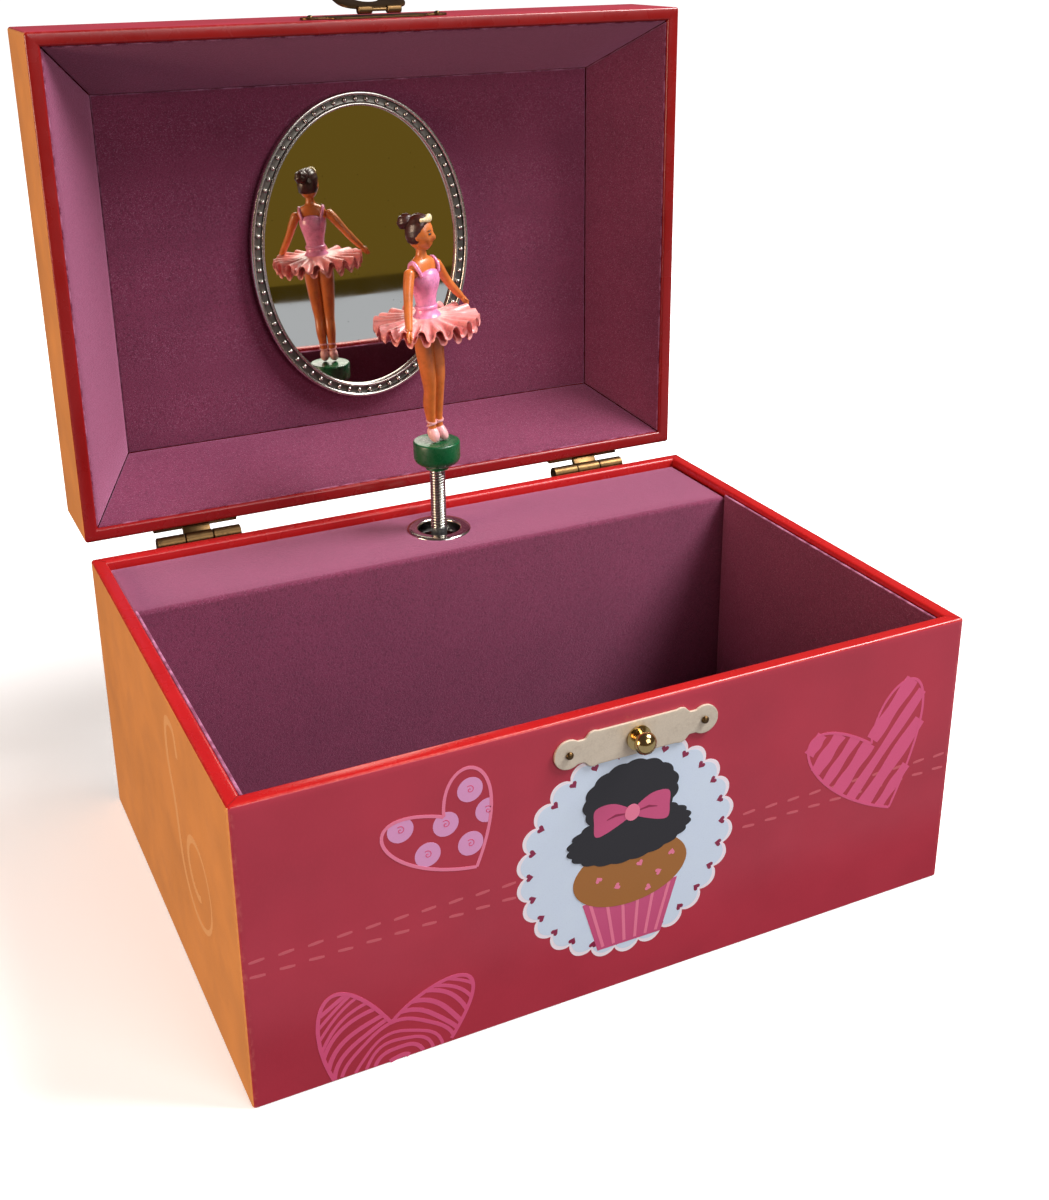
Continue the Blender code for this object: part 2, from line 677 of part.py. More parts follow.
def latch(lid_pivot, latch_pivot):
    """The plate on the lid's front, its pin, and the hasp that swings down over the knob."""
    axis = (LATCH_AXIS.y, LATCH_AXIS.z)
    back = -HALF_D - FIT
    middle = LATCH_AXIS.z + CATCH_HEIGHT / 2 - FIT
    plate = solid("latch_plate", prism(catch_outline(middle), "Y", CATCH_FACE, back),
                  "antique_brass", lid_pivot)
    side = LATCH_BARREL / 4
    bore = LATCH_PIN_RADIUS + FIT
    for sign in (-1, 1):
        xs = sorted((sign * (LATCH_BARREL / 2 - side), sign * LATCH_BARREL / 2))
        ear = [
            (back - CATCH_SHEET / 2, axis[1] - LATCH_KNUCKLE_RADIUS * 0.6),
            (axis[0], axis[1] - LATCH_KNUCKLE_RADIUS * 0.9),
            (axis[0], axis[1] + LATCH_KNUCKLE_RADIUS * 0.9),
            (back - CATCH_SHEET / 2, axis[1] + LATCH_KNUCKLE_RADIUS * 2.0),
        ]
        fuse(plate, prism(ear, "X", *xs), rod(LATCH_KNUCKLE_RADIUS, "X", axis, *xs, 14))
    cut(plate, rod(bore, "X", axis, -LATCH_BARREL, LATCH_BARREL, 12))

    solid("latch_pin", rod(LATCH_PIN_RADIUS, "X", axis, -LATCH_BARREL / 2, LATCH_BARREL / 2, 10),
          "antique_brass", lid_pivot, smooth=True)

    neck = LATCH_BARREL / 2 - side - FIT
    knob_drop = LATCH_AXIS.z - CATCH_AXIS_Z
    top, shoulder = axis[1], axis[1] - LATCH_KNUCKLE_RADIUS - 3 * FIT
    end = axis[1] - HASP_LENGTH
    half = HASP_WIDTH / 2
    outline = [(neck, top), (neck, shoulder), (half * 0.72, shoulder - 0.0004)]
    outline += arc((half - 0.0028, shoulder - 0.0032), 0.0028, 90, 0, 4)[1:]
    outline += [(half * 0.92, end + HASP_LENGTH * 0.36), (half * 0.62, end + HASP_LENGTH * 0.16)]
    outline += arc((0, end + half * 0.42), half * 0.42, 0, -90, 4)
    outline += [(-x, z) for x, z in outline[-2::-1]]
    ys = (axis[0] - HASP_SHEET / 2, axis[0] + HASP_SHEET / 2)
    hasp = solid("latch_hasp", prism(outline, "Y", *ys), "antique_brass", latch_pivot)
    fuse(hasp, rod(LATCH_KNUCKLE_RADIUS, "X", axis, -neck, neck, 14))
    cut(
        hasp,
        rod(bore, "X", axis, -LATCH_BARREL, LATCH_BARREL, 12),
        rod(KNOB_RADIUS + 2 * FIT, "Y", (0, axis[1] - knob_drop), ys[0] - WALL, ys[1] + WALL, 20),
    )


# ---- The movement ---------------------------------------------------------------------------
def movement_screw_places():
    return ((SPINDLE.x - 0.0220, 0.0460), (SPINDLE.x + 0.0220, 0.0290))


def comb_screw_heights():
    middle = CYLINDER_LOW + CYLINDER_LENGTH / 2
    return {"lower": middle - 0.0055, "upper": middle + 0.0055}


def stop_wire_place():
    return (SPINDLE.x + STOP_WIRE_OFFSET[0], SPINDLE.y + STOP_WIRE_OFFSET[1])


def comb_box():
    """Left, heel, right, front, back, low and high of the comb."""
    left = SPINDLE.x + CYLINDER_RADIUS + PIN_HEIGHT + FIT * 2
    return (left, left + 0.0114, left + 0.0184, SPINDLE.y - 0.0005, SPINDLE.y + 0.0005,
            CYLINDER_LOW + 0.0009, CYLINDER_HIGH - 0.0009)


def bedplate():
    """The cast plate on the back wall, with two bearing lugs and the seat of the comb."""
    left, right = SPINDLE.x - 0.0260, SPINDLE.x + 0.0280
    plate = solid("movement_bedplate",
                  block((left, BEDPLATE_FRONT, 0.0080), (right, BEDPLATE_BACK, UPPER_LUG + LUG)),
                  "movement_steel")
    lap = BEDPLATE_FRONT + BEDPLATE / 2
    near = SPINDLE.y - 3 * SPINDLE_RADIUS
    _, heel, comb_right, _, comb_back, comb_low, comb_high = comb_box()
    wire = stop_wire_place()
    arbor = (SPINDLE.x, KEY_AXIS_HEIGHT)
    fuse(
        plate,
        block((SPINDLE.x - 0.0040, near, LOWER_LUG), (SPINDLE.x + 0.0040, lap, LOWER_LUG + LUG)),
        block((GOVERNOR_X - 0.0025, near, UPPER_LUG),
              (wire[0] + 0.0025, lap, UPPER_LUG + LUG - FIT)),
        block((heel, comb_back + FIT, comb_low), (comb_right, lap, comb_high)),
    )
    bolt = SCREW_SHANK_RADIUS + FIT
    cut(
        plate,
        rod(SPINDLE_RADIUS + FIT, "Z", SPINDLE.xy, LOWER_LUG - LUG, UPPER_LUG + 2 * LUG, 16),
        rod(GOVERNOR_ARBOR_RADIUS + FIT, "Z", (GOVERNOR_X, SPINDLE.y), UPPER_LUG - LUG,
            UPPER_LUG + 2 * LUG, 12),
        rod(STOP_WIRE_RADIUS + FIT, "Z", wire, UPPER_LUG - LUG, UPPER_LUG + 2 * LUG, 12),
        rod(ARBOR_RADIUS + FIT, "Y", arbor, BEDPLATE_FRONT - LUG, BEDPLATE_BACK + LUG, 16),
        rod(GOVERNOR_ARBOR_RADIUS + FIT, "Y", (WORM_X, WORM_Z), BEDPLATE_FRONT - LUG,
            BEDPLATE_BACK - LUG / 2, 12),
        *[
            rod(bolt, "Y", at, BEDPLATE_FRONT - LUG, BEDPLATE_BACK + LUG, 12)
            for at in movement_screw_places()
        ],
        *[
            rod(bolt, "Y", ((heel + comb_right) / 2, z), comb_back - LUG, comb_back + 0.0056, 12)
            for z in comb_screw_heights().values()
        ],
    )


def comb():
    """The steel comb: one tooth for each note, cut from a flat plate, held by two screws."""
    left, heel, right, front, back, low, high = comb_box()
    pitch = (high - low) / NOTE_COUNT
    slot = pitch * 0.28
    outline = [(right, low), (right, high)]
    for k in range(NOTE_COUNT, 0, -1):
        top, bottom = low + k * pitch, low + (k - 1) * pitch
        top -= slot / 2 if k < NOTE_COUNT else 0
        bottom += slot / 2 if k > 1 else 0
        root = heel - 0.0045 * (k - 1) / NOTE_COUNT - 0.0010
        if k < NOTE_COUNT:
            outline.append((root, top))
        outline += [(left, top), (left, bottom)]
        if k > 1:
            outline.append((root, bottom))
    plate = solid("comb", prism(outline, "Y", front, back), "movement_steel")
    middle = (heel + right) / 2
    bolt = SCREW_SHANK_RADIUS + FIT
    heights = comb_screw_heights()
    cut(plate, *[rod(bolt, "Y", (middle, z), front - LUG, back + LUG, 12) for z in heights.values()])
    for name, z in heights.items():
        head = front - FIT
        profile = [
            (0, back + 0.0050), (SCREW_SHANK_RADIUS, back + 0.0050), (SCREW_SHANK_RADIUS, head),
            (SCREW_HEAD_RADIUS, head), (SCREW_HEAD_RADIUS, head - SCREW_HEAD_HEIGHT),
            (0, head - SCREW_HEAD_HEIGHT),
        ]
        solid(f"comb_screw_{name}", turned(profile, "Y", (middle, z), 12), "movement_steel")


def movement_screws():
    """Screws through the back wall into the bedplate, heads outside."""
    for side, at in zip(("left", "right"), movement_screw_places()):
        head, end = HALF_D + FIT, BEDPLATE_FRONT + FIT
        profile = [
            (0, end), (SCREW_SHANK_RADIUS, end), (SCREW_SHANK_RADIUS, head),
            (SCREW_HEAD_RADIUS, head), (SCREW_HEAD_RADIUS * 0.8, head + SCREW_HEAD_HEIGHT * 0.8),
            (0, head + SCREW_HEAD_HEIGHT),
        ]
        solid(f"movement_screw_{side}", turned(profile, "Y", at, 14), "movement_steel")


def winding_train(key_pivot, great_pivot):
    """The mainspring in its cup, the great wheel, and the arbor with its butterfly key."""
    axis = (SPINDLE.x, KEY_AXIS_HEIGHT)
    tooth_root = SPINDLE.y + pitch_radius(PINION_TEETH) + DEDENDUM
    tooth_tip = SPINDLE.y + pitch_radius(PINION_TEETH) - ADDENDUM
    cup_open = tooth_tip - FIT
    cup_end = cup_open - SPRING_CUP_DEPTH
    inner = SPRING_CUP_RADIUS - SPRING_CUP_WALL
    bore = ARBOR_RADIUS + FIT
    profile = [
        (SPRING_CUP_RADIUS, cup_open), (inner, cup_open), (inner, cup_end + SPRING_CUP_WALL),
        (bore, cup_end + SPRING_CUP_WALL), (bore, cup_end), (SPRING_CUP_RADIUS, cup_end),
    ]
    cup = solid("spring_housing", turned(profile, "Y", axis, 32), "movement_steel", smooth=True)
    rim = pitch_radius(GREAT_WHEEL_TEETH) + 0.0011
    strap_in, strap_out = rim + 2 * FIT, rim + 2 * FIT + 0.0023
    for sign in (-1, 1):
        lows = [SPINDLE.x + sign * v for v in (SPRING_CUP_RADIUS - SPRING_CUP_WALL / 2, strap_out)]
        outs = [SPINDLE.x + sign * v for v in (strap_in, strap_out)]
        near = cup_open - 0.0016
        fuse(
            cup,
            block((min(lows), near, axis[1] - 0.0030), (max(lows), cup_open, axis[1] + 0.0030)),
            block((min(outs), near, axis[1] - 0.0030),
                  (max(outs), BEDPLATE_FRONT - FIT, axis[1] + 0.0030)),
        )

    start, end = ARBOR_RADIUS + 0.0011, inner - FIT - SPRING_STRIP / 2
    steps = int(SPRING_TURNS * 20)
    shape = bmesh.new()
    strip = []
    for k in range(steps + 1):
        angle = 2 * math.pi * SPRING_TURNS * k / steps
        radius = start + (end - start) * k / steps
        strip.append([
            shape.verts.new((axis[0] + r * math.cos(angle), y, axis[1] + r * math.sin(angle)))
            for y, r in (
                (cup_end + SPRING_CUP_WALL + FIT, radius - SPRING_STRIP / 2),
                (cup_end + SPRING_CUP_WALL + FIT, radius + SPRING_STRIP / 2),
                (cup_open - FIT, radius + SPRING_STRIP / 2),
                (cup_open - FIT, radius - SPRING_STRIP / 2),
            )
        ])
    for first, second in zip(strip, strip[1:]):
        for k in range(4):
            n = (k + 1) % 4
            shape.faces.new((first[k], first[n], second[n], second[k]))
    shape.faces.new(strip[0])
    shape.faces.new(strip[-1][::-1])
    solid("mainspring", shape, "movement_steel")

    wheel = solid("great_wheel", crown_wheel(axis, tooth_root, tooth_tip), "movement_brass",
                  great_pivot)
    cut(wheel, rod(bore, "Y", axis, tooth_tip - LUG, tooth_root + 3 * LUG, 16))

    key_face = HALF_D + KEY_BACK_GAP
    socket = key_face + 0.0042
    solid("winding_arbor", rod(ARBOR_RADIUS, "Y", axis, cup_end - 0.0010, socket - FIT, 16),
          "movement_steel", key_pivot, smooth=True)
    boss_end = key_face + 0.0075
    profile = [
        (KEY_BOSS_RADIUS, key_face), (KEY_BOSS_RADIUS, boss_end), (0, boss_end + 0.0010),
        (0, socket), (bore, socket), (bore, key_face),
    ]
    shape = turned([(0, boss_end + 0.0010)] + profile[1::-1] + profile[:3:-1] + [(0, socket)],
                   "Y", axis, 20)
    key = solid("winding_key", shape, "movement_brass", key_pivot)
    wing = KEY_SPAN / 4
    middle = key_face + KEY_REACH - wing
    outline = [
        (SPINDLE.x + wing * 0.9 + wing * 1.1 * math.cos(a), middle + wing * 0.95 * math.sin(a))
        for a in (2 * math.pi * k / 18 for k in range(18))
    ]
    sheet = (axis[1] - KEY_SHEET / 2, axis[1] + KEY_SHEET / 2)
    other = [(2 * SPINDLE.x - x, y) for x, y in outline]
    web = [
        (SPINDLE.x + KEY_BOSS_RADIUS * 0.8, socket + LUG), (SPINDLE.x + wing * 0.7, middle),
        (SPINDLE.x - wing * 0.7, middle), (SPINDLE.x - KEY_BOSS_RADIUS * 0.8, socket + LUG),
    ]
    fuse(key, prism(web, "Z", *sheet), prism(outline, "Z", *sheet), prism(other, "Z", *sheet))


def crown_wheel(axis, root, tip):
    """A flat wheel whose teeth stand up from its rim towards the front."""
    inner = pitch_radius(GREAT_WHEEL_TEETH) - 0.0011
    outer = pitch_radius(GREAT_WHEEL_TEETH) + 0.0011
    pitch = 2 * math.pi / GREAT_WHEEL_TEETH
    angles = []
    for k in range(GREAT_WHEEL_TEETH):
        middle = math.pi / 2 + k * pitch
        angles += [middle - pitch * TOOTH_SHARE / 2, middle + pitch * TOOTH_SHARE / 2]
    shape = bmesh.new()

    def ring(radius, y):
        return [
            shape.verts.new((axis[0] + radius * math.cos(a), y, axis[1] + radius * math.sin(a)))
            for a in angles
        ]

    face_in, face_out = ring(inner, root), ring(outer, root)
    back_out = ring(outer, root + 0.0015)
    count = len(angles)
    teeth = []
    for k in range(count):
        n = (k + 1) % count
        top = shape.faces.new((face_in[k], face_in[n], face_out[n], face_out[k]))
        shape.faces.new((face_out[k], face_out[n], back_out[n], back_out[k]))
        if k % 2 == 0:
            teeth.append(top)
    shape.faces.new(face_in)
    shape.faces.new(back_out)
    raised = bmesh.ops.extrude_discrete_faces(shape, faces=teeth)["faces"]
    for top in raised:
        bmesh.ops.translate(shape, vec=(0, tip - root, 0), verts=top.verts)
    return shape


def cylinder_train(cylinder_pivot):
    """The pinned cylinder with its pinion and wheel, all on the dancer's spindle."""
    bore = SPINDLE_RADIUS + FIT
    drum = solid("cylinder", tube(CYLINDER_RADIUS, bore, "Z", SPINDLE.xy, CYLINDER_LOW,
                                  CYLINDER_HIGH, 40), "movement_brass", cylinder_pivot)
    low, high = comb_box()[5:]
    pins = bmesh.new()
    for note in range(NOTE_COUNT):
        z = low + (note + 0.5) * (high - low) / NOTE_COUNT
        for turn in (0.7, 3.5):
            angle = turn + 2.4 * note
            pin = block((CYLINDER_RADIUS - 0.0006, -0.0002, z - 0.0002),
                        (CYLINDER_RADIUS + PIN_HEIGHT, 0.0002, z + 0.0002))
            spin = Matrix.Rotation(angle, 3, "Z")
            bmesh.ops.rotate(pin, cent=(0, 0, 0), matrix=spin, verts=pin.verts)
            bmesh.ops.translate(pin, vec=SPINDLE, verts=pin.verts)
            step = bpy.data.meshes.new("pin")
            pin.to_mesh(step)
            pin.free()
            pins.from_mesh(step)
            bpy.data.meshes.remove(step)
    fuse(drum, pins)

    half = math.pi / PINION_TEETH
    teeth = gear_outline(PINION_TEETH, SPINDLE.xy, math.pi / 2 + half)
    pinion = solid("cylinder_pinion", prism(teeth, "Z", PINION_MIDDLE - PINION_HALF,
                                            PINION_MIDDLE + PINION_HALF),
                   "movement_brass", cylinder_pivot)
    teeth = gear_outline(CYLINDER_WHEEL_TEETH, SPINDLE.xy, math.pi)
    wheel = solid("cylinder_wheel", prism(teeth, "Z", CYLINDER_WHEEL_LOW,
                                          CYLINDER_WHEEL_LOW + WHEEL_FACE),
                  "movement_brass", cylinder_pivot)
    for gear in (pinion, wheel):
        cut(gear, rod(bore, "Z", SPINDLE.xy, LEDGE_TOP * 0.3, LEDGE_TOP, 16))

    seat_top = spring_end(0) - 2 * FIT
    seat_low = LEDGE_TOP - SPRING_SEAT_LENGTH + FIT
    profile = [
        (0, PINION_MIDDLE - PINION_HALF), (SPINDLE_RADIUS, PINION_MIDDLE - PINION_HALF),
        (SPINDLE_RADIUS, seat_low), (STEM_RADIUS, seat_low + SPINDLE_RADIUS),
        (STEM_RADIUS, seat_top), (0, seat_top),
    ]
    solid("spindle", turned(profile, "Z", SPINDLE.xy, 16), "movement_steel", cylinder_pivot,
          smooth=True)


def governor(wheel_pivot, fan_pivot):
    """The speed governor: a wheel driven by the cylinder wheel, and a worm with a fan."""
    at = (GOVERNOR_X, SPINDLE.y)
    shelf_low = GOVERNOR_WHEEL_LOW - 0.0068
    shelf_high = shelf_low + LUG
    arbor = solid("governor_wheel",
                  rod(GOVERNOR_ARBOR_RADIUS, "Z", at, shelf_low, UPPER_LUG + LUG - 2 * FIT, 12),
                  "movement_brass", wheel_pivot)
    half = math.pi / GOVERNOR_PINION_TEETH
    pinion = gear_outline(GOVERNOR_PINION_TEETH, at, half)
    wheel = gear_outline(GOVERNOR_WHEEL_TEETH, at, math.pi)
    fuse(
        arbor,
        prism(pinion, "Z", CYLINDER_WHEEL_LOW, CYLINDER_WHEEL_LOW + WHEEL_FACE),
        prism(wheel, "Z", GOVERNOR_WHEEL_LOW, GOVERNOR_WHEEL_LOW + WHEEL_FACE),
        rod(GOVERNOR_ARBOR_RADIUS * 2, "Z", at, CYLINDER_WHEEL_LOW + WHEEL_FACE / 2,
            GOVERNOR_WHEEL_LOW + WHEEL_FACE / 2, 12),
    )

    wheel_rim = pitch_radius(GOVERNOR_WHEEL_TEETH) + ADDENDUM
    post_back = SPINDLE.y - wheel_rim + 0.0020
    post_front = post_back - LUG
    bracket = solid("governor_bracket",
                    block((WORM_X - 0.0040, post_front, shelf_low),
                          (GOVERNOR_X + 0.0022, BEDPLATE_FRONT - FIT, shelf_high)),
                    "movement_steel")
    fuse(bracket, block((WORM_X - 0.0016, post_front, shelf_low + LUG / 2),
                        (WORM_X + 0.0016, post_back, WORM_Z + 0.0020)))
    pivot_bore = GOVERNOR_ARBOR_RADIUS + FIT
    cut(
        bracket,
        rod(pivot_bore, "Z", at, shelf_low - LUG, shelf_high + LUG, 12),
        rod(pivot_bore, "Y", (WORM_X, WORM_Z), post_front - LUG, post_back + LUG, 12),
    )

    worm_at = (WORM_X, WORM_Z)
    fan_back = BEDPLATE_FRONT - LUG
    fan_front = SPINDLE.y + wheel_rim + FIT
    fan = solid("governor_fan",
                rod(GOVERNOR_ARBOR_RADIUS, "Y", worm_at, post_front + FIT, BEDPLATE_FRONT + LUG, 12),
                "movement_brass", fan_pivot)
    blade = 0.00025
    fuse(
        fan,
        rod(WORM_RADIUS, "Y", worm_at, SPINDLE.y - 0.0025, SPINDLE.y + 0.0025, 14),
        block((WORM_X - FAN_RADIUS, fan_front, WORM_Z - blade),
              (WORM_X + FAN_RADIUS, fan_back, WORM_Z + blade)),
    )


def stop_wire():
    """The wire that the shutting lid pushes down, with the foot that brakes the cylinder wheel."""
    x, y = stop_wire_place()
    low = CYLINDER_WHEEL_LOW + WHEEL_FACE + FIT + STOP_TRAVEL
    high = HEIGHT + STOP_ABOVE_RIM
    wire = solid("stop_wire", rod(STOP_WIRE_RADIUS, "Z", (x, y), low, high, 10), "movement_steel",
                 smooth=True)
    fuse(wire, block((x - 0.0009, SPINDLE.y + 0.0050, low + STOP_WIRE_RADIUS * 0.2),
                     (x + 0.0009, y + 0.0009, low + STOP_WIRE_RADIUS * 1.4)))


# ---- The dancer -----------------------------------------------------------------------------
def spring_end(radius):
    """Height of the stem's lower end: round about the bend, so that it tilts clear of its seat."""
    reach = BEND_ABOVE_LEDGE - 4 * FIT
    return BEND_POINT.z - math.sqrt(max(reach ** 2 - radius ** 2, 0))


def dancer_stem(tilt_pivot):
    """The close-wound spring that carries the dancer, as its outer shape."""
    top = DANCER_BASE_BOTTOM + DANCER_SOCKET - FIT
    middle = (STEM_RADIUS + STEM_BORE_RADIUS) / 2
    profile = [
        (STEM_RADIUS, spring_end(STEM_RADIUS)), (STEM_RADIUS, top), (STEM_BORE_RADIUS, top),
        (STEM_BORE_RADIUS, spring_end(STEM_BORE_RADIUS)), (middle, spring_end(middle)),
    ]
    solid("dancer_spring", turned(profile, "Z", SPINDLE.xy, 20), "chrome", tilt_pivot, smooth=True)


def dancer_base(spin_pivot):
    """The plastic disc with a flat top, a bowl below and a socket for the spring."""
    low, high, r = DANCER_BASE_BOTTOM, DANCER_STAND, DANCER_BASE_RADIUS
    bore = STEM_RADIUS + FIT
    profile = [
        (0, high), (r * 0.93, high), (r, high - 0.0004), (r, low + DANCER_BASE_HEIGHT * 0.45),
        (r * 0.93, low + DANCER_BASE_HEIGHT * 0.28), (r * 0.72, low + DANCER_BASE_HEIGHT * 0.10),
        (r * 0.55, low), (bore, low), (bore, low + DANCER_SOCKET), (0, low + DANCER_SOCKET),
    ]
    solid("dancer_base", turned(profile, "Z", SPINDLE.xy, 28), "green_plastic", spin_pivot,
          smooth=True)


def on_dancer(forward, left, up):
    """A point given from the middle of the dancer's feet, along where the dancer faces."""
    turn = Matrix.Rotation(DANCER_HEADING, 3, "Z")
    foot = SPINDLE + Vector((0, 0, DANCER_STAND + FIT))
    return foot + turn @ Vector((forward, left, up))


def arm_points(side):
    """Shoulder, elbow, wrist and fingertips; side is 1 for the left arm and -1 for the right."""
    h = DANCER_HEIGHT
    reach = {1: (0.060, 0.148, 0.555), -1: (0.078, 0.190, 0.515)}[side]
    return [
        on_dancer(0, side * 0.072 * h, 0.800 * h),
        on_dancer(0, side * 0.086 * h, 0.785 * h),
        on_dancer(0.004 * h, side * 0.130 * h, 0.665 * h),
        on_dancer(reach[0] * h, side * reach[1] * h, reach[2] * h),
    ]


def arm(side, extra=0.0):
    h = DANCER_HEIGHT
    return limb(arm_points(side), [v * h + extra for v in (0.022, 0.025, 0.019, 0.012)], 8)


def dancer_figure(spin_pivot):
    """The figure in one moulding: legs, torso, arms, neck, head and a bun of hair."""
    h = DANCER_HEIGHT
    torso = ball(on_dancer(0, 0, 0.585 * h), (0.058 * h, 0.064 * h, 0.090 * h), DANCER_HEADING)
    figure = solid("dancer_figure", torso, "figure_brown", spin_pivot, smooth=True)
    fuse(figure, limb([on_dancer(0, 0, z * h) for z in (0.52, 0.62, 0.72, 0.79, 0.815, 0.87)],
                      [v * h for v in (0.055, 0.050, 0.068, 0.062, 0.022, 0.020)], 12))
    for side in (-1, 1):
        places = [(0.012, 0.020, 0.010), (0, 0.024, 0.060), (0, 0.028, 0.260), (0, 0.032, 0.540)]
        leg = [on_dancer(f * h, side * s * h, z * h) for f, s, z in places]
        fuse(figure, limb(leg, [v * h for v in (0.014, 0.018, 0.026, 0.031)], 10))
        fuse(figure, arm(side))
    looks = Matrix.Rotation(HEAD_TURN, 3, "Z")
    head = on_dancer(0, 0, 0.915 * h)
    fuse(figure, ball(head, (0.066 * h, 0.058 * h, 0.082 * h), DANCER_HEADING + HEAD_TURN))
    facing = looks @ (on_dancer(1, 0, 0) - on_dancer(0, 0, 0))
    bun = head - facing * 0.072 * h + Vector((0, 0, 0.030 * h))
    fuse(figure, ball(bun, (0.040 * h, 0.040 * h, 0.040 * h), DANCER_HEADING, 12, 7))


def dancer_skirt(spin_pivot):
    """The flat ruffled skirt round the hips, notched where the arms lie in it."""
    h = DANCER_HEIGHT
    waist = DANCER_STAND + 0.585 * h
    r, hole = SKIRT_RADIUS, SKIRT_HOLE_RADIUS
    profile = [
        (hole, waist), (hole + 0.0012, waist + 0.0004), (r * 0.70, waist - 0.0022),
        (r * 0.96, waist - 0.0034), (r, waist - 0.0050), (r * 0.94, waist - 0.0066),
        (r * 0.60, waist - 0.0056), (hole, waist - 0.0040),
    ]
    skirt = solid("dancer_skirt", turned(profile[::-1], "Z", SPINDLE.xy, 32), "skirt_pink",
                  spin_pivot, smooth=True)
    cut(skirt, arm(-1, FIT * 1.5), arm(1, FIT * 1.5))


# ---- The whole object -----------------------------------------------------------------------
def clear_scene():
    for old in list(bpy.data.objects):
        bpy.data.objects.remove(old, do_unlink=True)


def build():
    clear_scene()
    lid_pivot = pivot("lid_pivot", HINGE_AXIS, -OPEN_ANGLE)
    latch_pivot = pivot("latch_pivot", LATCH_AXIS, -HASP_FOLD, lid_pivot)
    axis_point = Vector((SPINDLE.x, SPINDLE.y, KEY_AXIS_HEIGHT))
    key_pivot = pivot("key_pivot", axis_point)
    great_pivot = pivot("great_wheel_pivot", axis_point)
    cylinder_pivot = pivot("cylinder_pivot", SPINDLE)
    wheel_pivot = pivot("governor_wheel_pivot", Vector((GOVERNOR_X, SPINDLE.y, WORM_Z)))
    fan_pivot = pivot("governor_fan_pivot", Vector((WORM_X, SPINDLE.y, WORM_Z)))
    tilt_pivot = pivot("dancer_tilt_pivot", BEND_POINT)
    spin_pivot = pivot("dancer_spin_pivot", BEND_POINT, 0.0, tilt_pivot)

    carcass()
    ledge()
    for side, sign in (("left", -1), ("right", 1)):
        hinge(side, sign * HINGE_SPACING / 2, lid_pivot)
    lid(lid_pivot)
    mirror(lid_pivot)
    catch()
    latch(lid_pivot, latch_pivot)
    bedplate()
    comb()
    movement_screws()
    winding_train(key_pivot, great_pivot)
    cylinder_train(cylinder_pivot)
    governor(wheel_pivot, fan_pivot)
    stop_wire()
    dancer_stem(tilt_pivot)
    dancer_base(spin_pivot)
    dancer_figure(spin_pivot)
    dancer_skirt(spin_pivot)


build()
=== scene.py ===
"""Looks of a wind up musical jewellery box: papered board, flock, a beaded mirror, fittings and a dancer.

Lengths are in metres. Shapes on the lid are worked out with the lid shut and then swung open.
"""

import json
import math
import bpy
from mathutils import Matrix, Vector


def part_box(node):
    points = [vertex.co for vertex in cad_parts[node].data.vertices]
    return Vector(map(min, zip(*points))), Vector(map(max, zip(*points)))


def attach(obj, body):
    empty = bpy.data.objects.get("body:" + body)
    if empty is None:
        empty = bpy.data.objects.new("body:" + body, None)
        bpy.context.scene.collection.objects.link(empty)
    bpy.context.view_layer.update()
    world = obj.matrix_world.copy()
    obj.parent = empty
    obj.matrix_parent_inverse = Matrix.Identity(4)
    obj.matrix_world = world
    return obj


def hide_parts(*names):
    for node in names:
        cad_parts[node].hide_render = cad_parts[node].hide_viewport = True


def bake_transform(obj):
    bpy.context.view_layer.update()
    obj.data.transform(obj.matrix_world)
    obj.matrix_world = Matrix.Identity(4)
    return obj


bl_info = {
    "name": "Musical Jewellery Box",
    "version": (1, 0, 0),
    "blender": (4, 5, 0),
    "location": "3D View > Sidebar > Music Box",
    "description": "Builds the papered, flocked and plated pieces of a musical jewellery box",
    "category": "Add Mesh",
}

import bmesh
import bpy
import numpy as np
from mathutils import Euler, Matrix, Vector

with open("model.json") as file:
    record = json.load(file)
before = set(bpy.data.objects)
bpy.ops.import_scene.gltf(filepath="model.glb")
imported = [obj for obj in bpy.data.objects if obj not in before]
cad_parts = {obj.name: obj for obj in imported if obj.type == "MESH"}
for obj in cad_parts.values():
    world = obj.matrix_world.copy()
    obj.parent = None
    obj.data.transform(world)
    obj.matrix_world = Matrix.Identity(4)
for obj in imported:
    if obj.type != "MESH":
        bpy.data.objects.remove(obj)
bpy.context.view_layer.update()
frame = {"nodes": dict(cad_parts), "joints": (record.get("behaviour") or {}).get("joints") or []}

MM = 0.001
RIGHT, BACK, UP = np.eye(3)


# ---------------------------------------------------------------- places taken from the frame


def turn(points, pivot, axis, angle):
    """The points turned about an axis through the pivot, by Rodrigues' formula."""
    axis = np.asarray(axis, float) / np.linalg.norm(axis)
    arm = np.asarray(points, float) - pivot
    along = (arm @ axis)[..., None] * axis
    c, s = math.cos(angle), math.sin(angle)
    return pivot + arm * c + np.cross(axis, arm) * s + along * (1 - c)


def joint(name):
    """The frame's record of a joint."""
    return next(j for j in frame["joints"] if j["name"] == name)


HINGE = np.array(joint("lid_hinge")["pos_m"])
SWING = math.radians(joint("lid_hinge")["range_deg"][1])
HASP_SWING = math.radians(joint("latch_swing")["range_deg"][1])
BEND = np.array(joint("dancer_tilt")["pos_m"])


def opened(points):
    """From the shut lid to the open one."""
    return turn(points, HINGE, RIGHT, -SWING)


def shut(points):
    """From the open lid to the shut one."""
    return turn(points, HINGE, RIGHT, SWING)


def folded_back(points):
    """From the hasp hanging on the shut lid to the hasp folded back on the open one."""
    pin = shut(np.array(joint("latch_swing")["pos_m"]))
    return opened(turn(points, pin, RIGHT, -HASP_SWING))


def span(node):
    """Lowest and highest corner of a CAD node at rest."""
    low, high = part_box(node)
    return np.array(low), np.array(high)


